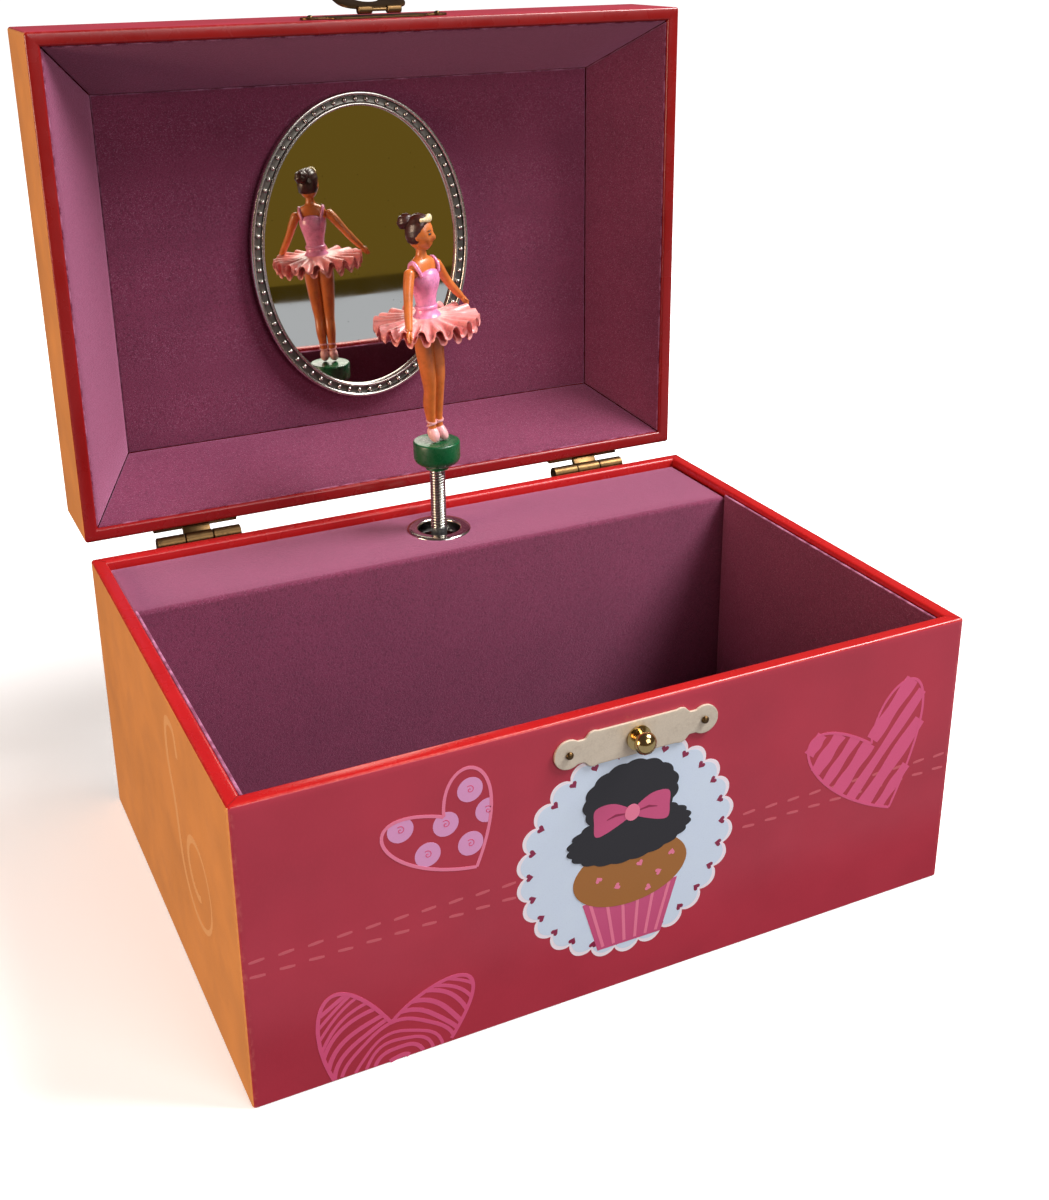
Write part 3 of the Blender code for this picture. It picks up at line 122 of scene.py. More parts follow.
def shut_span(node):
    """Lowest and highest corner of a CAD node of the lid, with the lid shut."""
    mesh = frame["nodes"][node].data
    points = np.empty(len(mesh.vertices) * 3)
    mesh.vertices.foreach_get("co", points)
    points = shut(points.reshape(-1, 3))
    return points.min(0), points.max(0)


HALF_W = -span("left_wall")[0][0]
HALF_D = -span("front_wall")[0][1]
HEIGHT = span("front_wall")[1][2]
WALL = span("left_wall")[1][0] + HALF_W
INNER_W = span("front_lining")[1][0]
INNER_D = -span("front_lining")[0][1]
FLOOR = span("floor_lining")[1][2]
LEDGE_TOP = span("ledge_cover")[1][2]
LINING = span("left_lining")[1][0] + INNER_W
LID_RIM = shut_span("lid_left_wall")[0][2]
LID_TOP = shut_span("lid_left_wall")[1][2]
SPINDLE = np.array([BEND[0], BEND[1], 0.0])
STAND = span("dancer_base")[1][2]


# ---------------------------------------------------------------- surfaces


def quads(rows, columns, round_rows=False, round_columns=False):
    """Corner numbers of a grid's quads. A round direction joins its last line to its first."""
    i = np.arange(rows if round_rows else rows - 1)
    j = np.arange(columns if round_columns else columns - 1)
    i, j = np.meshgrid(i, j, indexing="ij")
    i2, j2 = (i + 1) % rows, (j + 1) % columns
    corners = [i * columns + j, i2 * columns + j, i2 * columns + j2, i * columns + j2]
    return np.stack(corners, -1).reshape(-1, 4)


def skin(points, round_rows=False, round_columns=False, paint=0, wear_and_highlight=0.0):
    """A surface: its points, its quads, the number of each quad's material, and the wear at each point."""
    faces = quads(*points.shape[:2], round_rows, round_columns)
    paint = np.broadcast_to(paint, (len(faces),))
    wear_and_highlight = np.broadcast_to(wear_and_highlight, points.shape[:2]).reshape(-1)
    return points.reshape(-1, 3), faces, paint, wear_and_highlight


def add_piece(name, body, skins, finishes, replaces=(), crease=32):
    """Joins surfaces into one piece, closes its seams, turns its faces outwards and hangs it on a body."""
    starts = np.cumsum([0] + [len(s[0]) for s in skins])
    points = np.concatenate([s[0] for s in skins])
    faces = np.concatenate([s[1] + start for s, start in zip(skins, starts)])
    paint = np.concatenate([s[2] for s in skins]).astype(np.int32)
    wear_and_highlight = np.concatenate([s[3] for s in skins]).astype(np.float32)
    mesh = bpy.data.meshes.new(name)
    mesh.from_pydata(points.tolist(), [], faces.tolist())
    for finish in finishes:
        mesh.materials.append(finish)
    mesh.polygons.foreach_set("material_index", paint)
    # Edge mask on the points: the paper and flock finishes lighten these edges as scuffs and painted
    # highlight.
    mesh.attributes.new("wear_and_highlight", "FLOAT", "POINT").data.foreach_set("value", wear_and_highlight)
    close_and_turn_out(mesh)
    mesh.shade_smooth()
    mesh.set_sharp_from_angle(angle=math.radians(crease))
    piece = bpy.data.objects.new(name, mesh)
    bpy.context.scene.collection.objects.link(piece)
    if not mesh.polygons:
        raise RuntimeError(f"{name} came out with no faces")
    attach(piece, body)
    if replaces:
        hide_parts(*replaces)
    return piece


def close_and_turn_out(mesh):
    """Merges points that coincide at seams and poles, then points every face outwards."""
    work = bmesh.new()
    work.from_mesh(mesh)
    bmesh.ops.remove_doubles(work, verts=work.verts, dist=1e-7)
    bmesh.ops.dissolve_degenerate(work, edges=work.edges, dist=1e-8)
    bmesh.ops.recalc_face_normals(work, faces=work.faces)
    work.to_mesh(mesh)
    work.free()


def smooth(knots, count, closed=False, crowd_ends=False):
    """Catmull-Rom curve: between two knots, the cubic whose slopes are half the neighbours' step."""
    knots = np.asarray(knots, float)
    if closed:
        padded, spans = np.concatenate([knots[-1:], knots, knots[:2]]), len(knots)
    else:
        first, last = 2 * knots[0] - knots[1], 2 * knots[-1] - knots[-2]
        padded, spans = np.concatenate([[first], knots, [last]]), len(knots) - 1
    share = np.linspace(0, 1, count, endpoint=not closed)
    if crowd_ends:
        share = (1 - np.cos(math.pi * share)) / 2
    place = share * spans
    i = np.minimum(place.astype(int), spans - 1)
    f = (place - i)[:, None]
    a, b, c, d = padded[i], padded[i + 1], padded[i + 2], padded[i + 3]
    return 0.5 * (2 * b + (c - a) * f + (2 * a - 5 * b + 4 * c - d) * f**2 + (3 * b - a - 3 * c + d) * f**3)


def round_angles(count):
    """Even angles once round a circle, without the last one."""
    return np.linspace(0, 2 * math.pi, count, endpoint=False)


def circle(count):
    """Cosines and sines of even angles once round."""
    angle = round_angles(count)
    return np.cos(angle), np.sin(angle)


def limb(knots, sides=20, count=40, up=(0, 0, 1)):
    """A limb: ellipses carried along a smooth path, which shrink to a point in a dome at each end.

    Each knot is x, y, z, the half width across and the half width up.
    """
    path = smooth(knots, count, crowd_ends=True)
    place, wide, high = path[:, :3], path[:, 3], path[:, 4]
    tangent = np.gradient(place, axis=0)
    tangent /= np.linalg.norm(tangent, axis=1)[:, None]
    side = np.cross(tangent, np.asarray(up, float))
    side /= np.linalg.norm(side, axis=1)[:, None]
    lift = np.cross(side, tangent)
    run = np.concatenate([[0], np.cumsum(np.linalg.norm(np.diff(place, axis=0), axis=1))])
    near_end = np.clip(np.minimum(run, run[-1] - run) / np.maximum(high, 1e-9), 0, 1)
    dome = np.sqrt(1 - (1 - near_end) ** 2)
    c, s = circle(sides)
    across = (wide * dome)[:, None, None] * c[None, :, None] * side[:, None]
    upward = (high * dome)[:, None, None] * s[None, :, None] * lift[:, None]
    return place[:, None] + across + upward


def lathe(profile, centre, sides=48, axis="z"):
    """A turned shape: a profile of radius and height, carried round an axis through the centre."""
    radius, height = np.asarray(profile, float).T
    c, s = circle(sides)
    rise = np.broadcast_to(height[:, None], (len(height), sides))
    flat = np.stack([radius[:, None] * c, radius[:, None] * s, rise], -1)
    if axis == "front":
        flat = np.stack([flat[..., 0], -flat[..., 2], flat[..., 1]], -1)
    if axis == "back":
        flat = np.stack([-flat[..., 0], flat[..., 2], flat[..., 1]], -1)
    return flat + centre


def ball(centre, half, sides=10, rings=7):
    """An ellipsoid: its half sizes times the sine and cosine of two angles."""
    tilt = np.linspace(0, math.pi, rings)[:, None]
    c, s = circle(sides)
    unit = np.stack([np.sin(tilt) * c, np.sin(tilt) * s, np.cos(tilt) * np.ones(sides)], -1)
    return unit * half + centre


def soft_steps(length, edge, cells):
    """Places from 0 to 1 along a board's side: a quarter circle at each edge and even cells between."""
    lead = edge * (1 - np.cos(np.linspace(0, math.pi / 2, 5))) / length
    middle = np.linspace(lead[-1], 1 - lead[-1], cells + 1)[1:-1]
    return np.concatenate([lead, middle, 1 - lead[::-1]])


def soft_board(corners, thickness, edge, cells=12):
    """A board with soft edges, as its front and back sheet.

    The front face is the blend of four corners, and the thickness falls along a quarter circle at each edge.
    """
    a, b, c, d = (np.asarray(p, float) for p in corners)
    normal = np.cross(b - a, d - a)
    normal /= np.linalg.norm(normal)
    width = (np.linalg.norm(b - a) + np.linalg.norm(c - d)) / 2
    height = (np.linalg.norm(d - a) + np.linalg.norm(c - b)) / 2
    u = soft_steps(width, edge, cells)[:, None]
    v = soft_steps(height, edge, cells)[None, :]
    face = ((1 - u) * (1 - v))[..., None] * a + (u * (1 - v))[..., None] * b
    face = face + (u * v)[..., None] * c + ((1 - u) * v)[..., None] * d
    rise_u = np.clip(np.minimum(u, 1 - u) * width / edge, 0, 1)
    rise_v = np.clip(np.minimum(v, 1 - v) * height / edge, 0, 1)
    swell = (np.sqrt(1 - (1 - rise_u) ** 2) * np.sqrt(1 - (1 - rise_v) ** 2))[..., None]
    middle = face - normal * thickness / 2
    # Edge mask that the finishes lighten as scuffs and painted highlight.
    wear_and_highlight = 1 - np.minimum(rise_u, rise_v)
    return [
        skin(middle + normal * swell * thickness / 2, wear_and_highlight=wear_and_highlight),
        skin(middle - normal * swell * thickness / 2, wear_and_highlight=wear_and_highlight),
    ]


def rectangle_path(half_x, half_y, radius, near=1.2 * MM):
    """Closed path round a rectangle with round corners, and the side that each of its steps lies on.

    It starts at the front's right corner. Sides are numbered 0 front, 1 right, 2 back, 3 left. Each straight
    side has a point close to either corner.
    """
    radius = max(radius, 0.02 * MM)
    points, sides = [], []
    for corner, (sx, sy) in enumerate(((1, -1), (1, 1), (-1, 1), (-1, -1))):
        angle = math.radians(90) * (corner - 1) + np.linspace(0, math.pi / 2, 7)
        centre = np.array([sx * (half_x - radius), sy * (half_y - radius)])
        arc = centre + radius * np.stack([np.cos(angle), np.sin(angle)], -1)
        next_sx, next_sy = ((1, 1), (-1, 1), (-1, -1), (1, -1))[corner]
        turn_on = angle[-1]
        next_start = np.array([next_sx * (half_x - radius), next_sy * (half_y - radius)])
        next_start = next_start + radius * np.array([math.cos(turn_on), math.sin(turn_on)])
        length = np.linalg.norm(next_start - arc[-1])
        share = np.concatenate([[near / length], np.linspace(0, 1, 13)[1:-1], [1 - near / length]])
        points += [arc, arc[-1] + (next_start - arc[-1]) * share[:, None]]
        sides += [corner] * 3 + [(corner + 1) % 4] * (3 + len(share) + 1)
    return np.concatenate(points), np.array(sides)


def box_shell(profile, half_x, half_y, radius):
    """Walls of a box: a profile of inset and height, carried round a rectangle.

    The rectangle's corners get tighter with the inset.
    """
    rows = []
    for inset, height in profile:
        flat, sides = rectangle_path(half_x - inset, half_y - inset, radius - inset)
        rows.append(np.concatenate([flat, np.full((len(flat), 1), height)], 1))
    return np.stack(rows), sides


def quarter(radius, steps=4):
    """Insets and drops along a quarter circle, from the flat side to the upright one."""
    angle = np.linspace(0, math.pi / 2, steps + 1)
    return [(radius * (1 - math.sin(a)), radius * (1 - math.cos(a))) for a in angle]


def around_hole(hole, outline, rows):
    """A plate with a hole, as a section carried round it.

    Each row is its share of the way from hole to outline, and its height.
    """
    share, height = np.asarray(rows, float).T
    flat = hole[None] + (outline - hole)[None] * share[:, None, None]
    return np.concatenate([flat, np.broadcast_to(height[:, None, None], flat.shape[:2] + (1,))], -1)


def oval_ring(profile, half, centre, count=180):
    """A frame round an oval: a profile of inset and rise, set off along the oval's normals."""
    c, s = circle(count)
    edge = np.stack([half[0] * c, half[1] * s], -1)
    normal = np.stack([half[1] * c, half[0] * s], -1)
    normal /= np.linalg.norm(normal, axis=1)[:, None]
    inset, rise = np.asarray(profile, float).T
    flat = centre + edge[None] - inset[:, None, None] * normal[None]
    return flat, np.broadcast_to(rise[:, None], flat.shape[:2])


def stretched_plate(x, half_height, thickness, edge):
    """A plate along x, whose half height varies along it, with a rounded rectangle for its section."""
    c, s = circle(32)
    corner = edge / thickness
    across = np.sign(c) * np.abs(c) ** corner
    through = np.sign(s) * np.abs(s) ** corner
    grid = np.empty((len(x), len(c), 3))
    grid[..., 0] = x[:, None]
    grid[..., 1] = half_height[:, None] * across
    grid[..., 2] = thickness / 2 * (1 + through * np.minimum(1, half_height / thickness)[:, None])
    return grid


# ---------------------------------------------------------------- finishes


def srgb(red, green, blue):
    """A colour given in 0 to 255, in the linear values that shaders use."""
    share = np.array([red, green, blue]) / 255
    linear = np.where(share <= 0.04045, share / 12.92, ((share + 0.055) / 1.055) ** 2.4)
    return tuple(round(float(x), 4) for x in linear)


def toned(colour, factor):
    """The colour made lighter or darker, with alpha."""
    return tuple(min(1.0, c * factor) for c in tuple(colour)[:3]) + (1.0,)


class Finish:
    """A material in the making: one Principled shader, and the noise, ramps and bumps that feed it."""

    def __init__(self, name, **constants):
        self.material = bpy.data.materials.new(name)
        self.material.use_nodes = True
        self.tree = self.material.node_tree
        self.shader = self.tree.nodes["Principled BSDF"]
        self.place = self.tree.nodes.new("ShaderNodeTexCoord").outputs["Object"]
        for socket, value in constants.items():
            self.shader.inputs[socket.replace("_", " ")].default_value = value

    def feed(self, socket, source):
        """Links a source to one of the shader's sockets."""
        self.tree.links.new(source, self.shader.inputs[socket])

    def give(self, socket, value):
        """Links a socket to a source, or sets its value."""
        if isinstance(value, bpy.types.NodeSocket):
            self.tree.links.new(value, socket)
        else:
            socket.default_value = value

    def node(self, kind, **inputs):
        """A new node, with its inputs linked to sockets or set to values."""
        made = self.tree.nodes.new(kind)
        for socket, value in inputs.items():
            self.give(made.inputs[socket.replace("_", " ")], value)
        return made

    def stretched(self, stretch):
        """The place, stretched before a pattern reads it."""
        return self.node("ShaderNodeMapping", Vector=self.place, Scale=stretch).outputs["Vector"]

    def noise(self, size, detail=2.0, rough=0.5, where=None):
        """Cloudy noise whose lumps are about this size."""
        place = self.place if where is None else where
        made = self.node("ShaderNodeTexNoise", Vector=place, Scale=1 / size, Detail=detail, Roughness=rough)
        return made.outputs["Fac"]

    def cells(self, size):
        """Distance to the nearest of scattered points, about this far apart."""
        return self.node("ShaderNodeTexVoronoi", Vector=self.place, Scale=1 / size).outputs["Distance"]

    def ramp(self, source, *stops):
        """A colour read from a ramp, whose stops are a place and a colour each."""
        made = self.node("ShaderNodeValToRGB", Fac=source)
        first, last = made.color_ramp.elements
        first.position, first.color = stops[0]
        last.position, last.color = stops[-1]
        for place, colour in stops[1:-1]:
            made.color_ramp.elements.new(place).color = colour
        return made.outputs["Color"]

    def between(self, source, low, high, start=0.3, end=0.7):
        """A number that goes from low to high as the source goes from start to end."""
        made = self.node("ShaderNodeMapRange", Value=source)
        for socket, value in zip(("From Min", "From Max", "To Min", "To Max"), (start, end, low, high)):
            made.inputs[socket].default_value = value
        return made.outputs["Result"]

    def mix(self, share, first, second):
        """From the first colour to the second by a share."""
        made = self.tree.nodes.new("ShaderNodeMix")
        made.data_type = "RGBA"
        for number, value in ((0, share), (6, first), (7, second)):
            self.give(made.inputs[number], value)
        return made.outputs[2]

    def times(self, first, second):
        """The product of two numbers."""
        made = self.tree.nodes.new("ShaderNodeMath")
        made.operation = "MULTIPLY"
        self.tree.links.new(first, made.inputs[0])
        self.tree.links.new(second, made.inputs[1])
        return made.outputs[0]

    def worn_and_highlit(self, start=0.25, end=0.8, patch=0.0015):
        """Share of wear: the piece's own wear at an edge, broken up by noise."""
        edge = self.node("ShaderNodeAttribute")
        edge.attribute_name = "wear_and_highlight"
        broken = self.between(self.noise(patch, 3), 0, 1, 0.42, 0.66)
        return self.times(self.between(edge.outputs["Fac"], 0, 1, start, end), broken)

    def bump(self, *layers):
        """Stacked bumps, each a height, a strength and a depth."""
        normal = None
        for height, strength, depth in layers:
            made = self.node("ShaderNodeBump", Height=height, Strength=strength, Distance=depth)
            if normal is not None:
                self.tree.links.new(normal, made.inputs["Normal"])
            normal = made.outputs["Normal"]
        self.feed("Normal", normal)


def printed_paper(name, colour, scuff_and_highlight=(0.75, 0.22, 0.18), scuff_and_highlight_share=0.35, gloss=0.34):
    """Coated printing paper: slow drift in the ink, a fibre grain, dull rubbed patches and scuffed edges."""
    made = Finish(name, Coat_Weight=0.12, Coat_Roughness=0.25, Specular_IOR_Level=0.35)
    drift = made.ramp(made.noise(22 * MM, 3), (0.3, toned(colour, 0.91)), (0.7, toned(colour, 1.07)))
    fibre = made.noise(0.5 * MM, 3, 0.6, made.stretched((1.0, 1.0, 0.4)))
    inked = made.mix(made.between(fibre, 0.0, 0.2, 0.45, 0.75), drift, toned(colour, 1.2))
    # Edges are mixed toward a lighter colour: scuffed paper and painted highlight.
    scuffing_and_highlight = made.times(made.worn_and_highlit(0.5, 1.0), made.between(fibre, 0, scuff_and_highlight_share, 0.3, 0.6))
    made.feed("Base Color", made.mix(scuffing_and_highlight, inked, (*scuff_and_highlight, 1)))
    made.feed("Roughness", made.between(made.noise(9 * MM, 4), gloss - 0.05, gloss + 0.1))
    made.bump((fibre, 0.16, 0.05 * MM), (made.noise(14 * MM, 2), 0.12, 0.25 * MM))
    return made.material


def print_ink(name, colour, patchy=0.1):
    """Printing ink on the paper: its colour thins in tiny flecks where the fibres show."""
    made = Finish(name, Coat_Weight=0.2, Coat_Roughness=0.25)
    fleck = made.noise(0.35 * MM, 3, 0.6)
    thin = made.mix(made.between(fleck, 0, patchy * 3, 0.5, 0.8), toned(colour, 1.0), toned(colour, 0.8))
    cloud = made.between(made.noise(5 * MM, 2), 0, patchy)
    made.feed("Base Color", made.mix(cloud, thin, toned(colour, 1.2)))
    made.feed("Roughness", made.between(fleck, 0.34, 0.46))
    made.bump((fleck, 0.12, 0.04 * MM))
    return made.material


def flock(name, colour, light):
    """Flocked board: short upright fibres that speckle, lie in patches and catch light at their tips."""
    tips = toned(light, 1.0)
    made = Finish(name, Sheen_Weight=1.0, Sheen_Roughness=0.55, Sheen_Tint=tips, Specular_IOR_Level=0.12)
    lay = made.noise(16 * MM, 3)
    speck = made.noise(0.62 * MM, 3, 0.75)
    fibre = made.noise(0.2 * MM, 2, 0.7)
    base = made.ramp(lay, (0.32, toned(colour, 0.92)), (0.68, toned(colour, 1.08)))
    dark = made.mix(made.between(speck, 0.62, 0.0, 0.36, 0.52), base, toned(colour, 0.42))
    # Flecks mixed toward the tip colour: painted highlight.
    pale = made.mix(made.between(fibre, 0.0, 0.5, 0.56, 0.74), dark, tips)
    # Board edges lightened toward the tip colour: abraded flock and painted highlight.
    rubbed_and_highlit = made.between(made.worn_and_highlit(0.2, 0.9, 3 * MM), 0, 0.5, 0, 1)
    made.feed("Base Color", made.mix(rubbed_and_highlit, pale, toned(light, 1.25)))
    made.feed("Roughness", made.between(speck, 0.86, 0.98))
    made.bump((speck, 0.45, 0.22 * MM), (fibre, 0.5, 0.12 * MM), (lay, 0.1, 0.3 * MM))
    return made.material


TARNISH = (0.05, 0.035, 0.02)
EVENLY = (1, 1, 1)


def metal(name, colour, gloss, tarnish=TARNISH, tarnish_share=0.25, brushed=EVENLY, grain=0.3 * MM, bare=1.0):
    """Plated metal: brushing or casting grain in the gloss and relief, and dull tarnish in patches."""
    made = Finish(name, Metallic=bare)
    stroke = made.noise(grain, 3, 0.6, made.stretched(brushed))
    patch = made.noise(3.5 * MM, 4, 0.6)
    fine = made.noise(0.9 * MM, 3, 0.6)
    dull = made.times(made.between(patch, 0, 1, 0.42, 0.72), made.between(fine, 0, tarnish_share, 0.35, 0.65))
    shaded = made.mix(made.between(stroke, 0, 0.3, 0.4, 0.7), toned(colour, 1.0), toned(colour, 0.72))
    made.feed("Base Color", made.mix(dull, shaded, (*tarnish, 1)))
    made.feed("Roughness", made.between(stroke, gloss, gloss + 0.16, 0.3, 0.75))
    made.bump((stroke, 0.12, 0.03 * MM), (patch, 0.08, 0.12 * MM))
    return made.material


def moulded_plastic(name, colour, gloss):
    """Moulded plastic: light that sinks in a little, faint flow marks, a pebbled skin and a few dull rubs."""
    made = Finish(name, Subsurface_Weight=0.06, Subsurface_Scale=MM, Coat_Weight=0.15, Coat_Roughness=0.2)
    flow = made.noise(4 * MM, 3, 0.6, made.stretched((1, 1, 0.5)))
    pebble = made.noise(0.25 * MM, 2)
    made.feed("Base Color", made.ramp(flow, (0.3, toned(colour, 0.84)), (0.7, toned(colour, 1.12))))
    made.feed("Roughness", made.between(made.noise(1.4 * MM, 3), gloss, gloss + 0.15))
    made.bump((pebble, 0.12, 0.03 * MM), (flow, 0.1, 0.1 * MM))
    return made.material


def hand_paint(name, colour, shade, gloss=0.32, size=1.6 * MM):
    """Hand painted figure: brush strokes that pool darker in places, with a brushed relief."""
    depth = 0.6 * MM
    made = Finish(name, Coat_Weight=0.3, Coat_Roughness=0.18, Subsurface_Weight=0.04, Subsurface_Scale=depth)
    pool = made.noise(size, 3, 0.6)
    stroke = made.noise(0.5 * MM, 3, 0.6, made.stretched((1, 1, 0.3)))
    base = made.ramp(pool, (0.3, toned(shade, 1.0)), (0.52, toned(colour, 1.0)), (0.75, toned(colour, 1.12)))
    made.feed("Base Color", made.mix(made.between(stroke, 0, 0.3, 0.5, 0.8), base, toned(shade, 0.9)))
    made.feed("Roughness", made.between(stroke, gloss, gloss + 0.18))
    made.bump((stroke, 0.2, 0.06 * MM), (pool, 0.15, 0.12 * MM))
    return made.material


def silvered_glass(name, colour):
    """Mirror: a near perfect reflector with the faintest haze and a few specks in its silver."""
    made = Finish(name, Metallic=1.0)
    haze = made.noise(12 * MM, 3)
    speck = made.between(made.cells(2.6 * MM), 0.0, 1.0, 0.05, 0.06)
    made.feed("Base Color", made.mix(speck, toned(colour, 0.45), toned(colour, 1.0)))
    made.feed("Roughness", made.between(haze, 0.012, 0.035))
    return made.material


def grey_board(name, colour):
    """Bare grey board: pressed fibres in a few shades, with a dusty surface."""
    made = Finish(name, Specular_IOR_Level=0.2)
    fibre = made.noise(0.8 * MM, 4, 0.7, made.stretched((1, 0.4, 1)))
    cloud = made.noise(12 * MM, 3)
    base = made.ramp(cloud, (0.3, toned(colour, 0.85)), (0.7, toned(colour, 1.1)))
    made.feed("Base Color", made.mix(made.between(fibre, 0, 0.6, 0.45, 0.7), base, toned(colour, 0.6)))
    made.feed("Roughness", made.between(fibre, 0.8, 0.95))
    made.bump((fibre, 0.4, 0.12 * MM))
    return made.material


# ---------------------------------------------------------------- settings that a user may change


def colour_setting(name, description, red, green, blue):
    """A colour that the panel shows, with a default in 0 to 255."""
    value = srgb(red, green, blue)
    return bpy.props.FloatVectorProperty(
        name=name, description=description, subtype="COLOR", size=3, min=0, max=1, default=value
    )


def length_setting(name, description, value):
    """A length that the panel shows."""
    return bpy.props.FloatProperty(name=name, description=description, default=value, min=0, unit="LENGTH")


def count_setting(name, description, value):
    """A count that the panel shows."""
    return bpy.props.IntProperty(name=name, description=description, default=value, min=3)


def angle_setting(name, description, degrees):
    """An angle that the panel shows, with a default in degrees."""
    value = math.radians(degrees)
    return bpy.props.FloatProperty(name=name, description=description, subtype="ANGLE", default=value)


def chosen(group):
    """The settings of a group, as the user left them."""
    return getattr(bpy.context.scene, "music_box_" + group)


class MusicBoxPaperSettings(bpy.types.PropertyGroup):
    """Paper that covers the box and the lid."""

    front_colour: colour_setting("Front", "Paper on the front, back and top", 180, 54, 72)
    side_colour: colour_setting("Sides", "Paper on the two sides", 226, 156, 88)
    rim_colour: colour_setting("Rim", "Paper turned over the rims", 180, 28, 28)
    board_colour: colour_setting("Board", "Bare board under the base", 150, 140, 125)
    corner_radius: length_setting("Corner Radius", "Round of the upright corners", 0.8 * MM)
    rim_radius: length_setting("Rim Radius", "Round of the rims and of the lid's top", 0.7 * MM)


class MusicBoxFlockSettings(bpy.types.PropertyGroup):
    """Flocked linings."""

    colour: colour_setting("Flock", "Body colour of the flock", 108, 40, 66)
    light: colour_setting("Flock Tips", "Colour of the fibre tips that catch the light", 215, 150, 185)
    fold_radius: length_setting("Fold Radius", "Round of the ledge's front fold", 1.3 * MM)
    edge: length_setting("Edge", "Round of the lining boards' edges", 0.45 * MM)


class MusicBoxPrintSettings(bpy.types.PropertyGroup):
    """Print on the papered outside."""

    line_colour: colour_setting("Line", "Outline heart", 238, 128, 160)
    dot_colour: colour_setting("Dots", "Dots in the outline heart", 226, 158, 205)
    deep_colour: colour_setting("Deep Pink", "Striped and ringed hearts", 222, 88, 132)
    dash_colour: colour_setting("Dashes", "Rows of dashes", 206, 92, 104)
    lace_colour: colour_setting("Lace", "Scalloped edge of the medallion", 250, 240, 250)
    sky_colour: colour_setting("Medallion", "Ground of the medallion", 216, 232, 252)
    hole_colour: colour_setting("Lace Holes", "Small hearts in the lace", 140, 30, 70)
    icing_colour: colour_setting("Icing", "Icing of the cake", 26, 22, 25)
    cake_colour: colour_setting("Cake", "Body of the cake", 164, 106, 44)
    bow_colour: colour_setting("Bow", "Bow and paper case", 206, 84, 130)
    swirl_colour: colour_setting("Swirl", "Loops on the sides", 242, 182, 120)
    layer: length_setting("Layer", "How far each layer of ink stands above the last", 0.02 * MM)
    dash_pitch: length_setting("Dash Pitch", "Step from dash to dash", 6.2 * MM)
    scallops: count_setting("Scallops", "Number of scallops round the medallion", 26)


class MusicBoxFittingSettings(bpy.types.PropertyGroup):
    """Mirror, eyelet, spring, catch, latch, hinges and key."""

    frame_colour: colour_setting("Mirror Frame", "Plating of mirror frame and eyelet", 205, 200, 192)
    glass_colour: colour_setting("Mirror", "Silvering of the glass", 228, 226, 214)
    plate_colour: colour_setting("Catch Plate", "Plating of the catch", 224, 210, 188)
    knob_colour: colour_setting("Knob", "Polished brass of the knob", 196, 168, 112)
    aged_colour: colour_setting("Aged Brass", "Hinges and latch", 104, 80, 50)
    spring_colour: colour_setting("Spring", "Wire of the dancer's spring", 200, 200, 192)
    bead_count: count_setting("Beads", "Beads round the mirror", 72)
    bead_radius: length_setting("Bead Radius", "Radius of a bead", 0.7 * MM)
    wire_radius: length_setting("Spring Wire", "Radius of the spring's wire", 0.37 * MM)


class MusicBoxDancerSettings(bpy.types.PropertyGroup):
    """Dancer and the disc underneath."""

    skin_colour: colour_setting("Skin", "Painted skin", 204, 112, 50)
    hair_colour: colour_setting("Hair", "Painted hair", 58, 20, 10)
    bodice_colour: colour_setting("Bodice", "Painted bodice", 226, 140, 184)
    skirt_colour: colour_setting("Skirt", "Stiff skirt", 238, 150, 146)
    shoe_colour: colour_setting("Shoes", "Painted shoes", 236, 176, 176)
    tiara_colour: colour_setting("Tiara", "Painted tiara", 240, 222, 176)
    disc_colour: colour_setting("Disc", "Plastic disc", 12, 84, 46)
    heading: angle_setting("Heading", "Which way the body faces", -66)
    head_turn: angle_setting("Head Turn", "How far the head turns to the left", 25)
    lean: angle_setting("Lean", "How far the dancer leans to the left end of the box", 3.4)
    skirt_radius: length_setting("Skirt Radius", "Reach of the skirt", 14.0 * MM)
    folds: count_setting("Folds", "Ruffles round the skirt", 19)


class MusicBoxMovementSettings(bpy.types.PropertyGroup):
    """Musical movement inside the ledge."""

    steel_colour: colour_setting("Steel", "Bedplate, comb and screws", 180, 182, 186)
    brass_colour: colour_setting("Brass", "Wheels and cylinder", 206, 166, 84)


class MusicBoxStageSettings(bpy.types.PropertyGroup):
    """Floor, light and camera."""

    floor_colour: colour_setting("Floor", "Pale floor", 243, 243, 243)
    near_colour: colour_setting("Near Floor", "Floor in front that reflections see", 188, 192, 204)
    room_colour: colour_setting("Room", "Far side of the room that reflections see", 104, 84, 30)
    lens: bpy.props.FloatProperty(name="Lens", description="Focal length in mm", default=44.66, min=1)


# ---------------------------------------------------------------- box


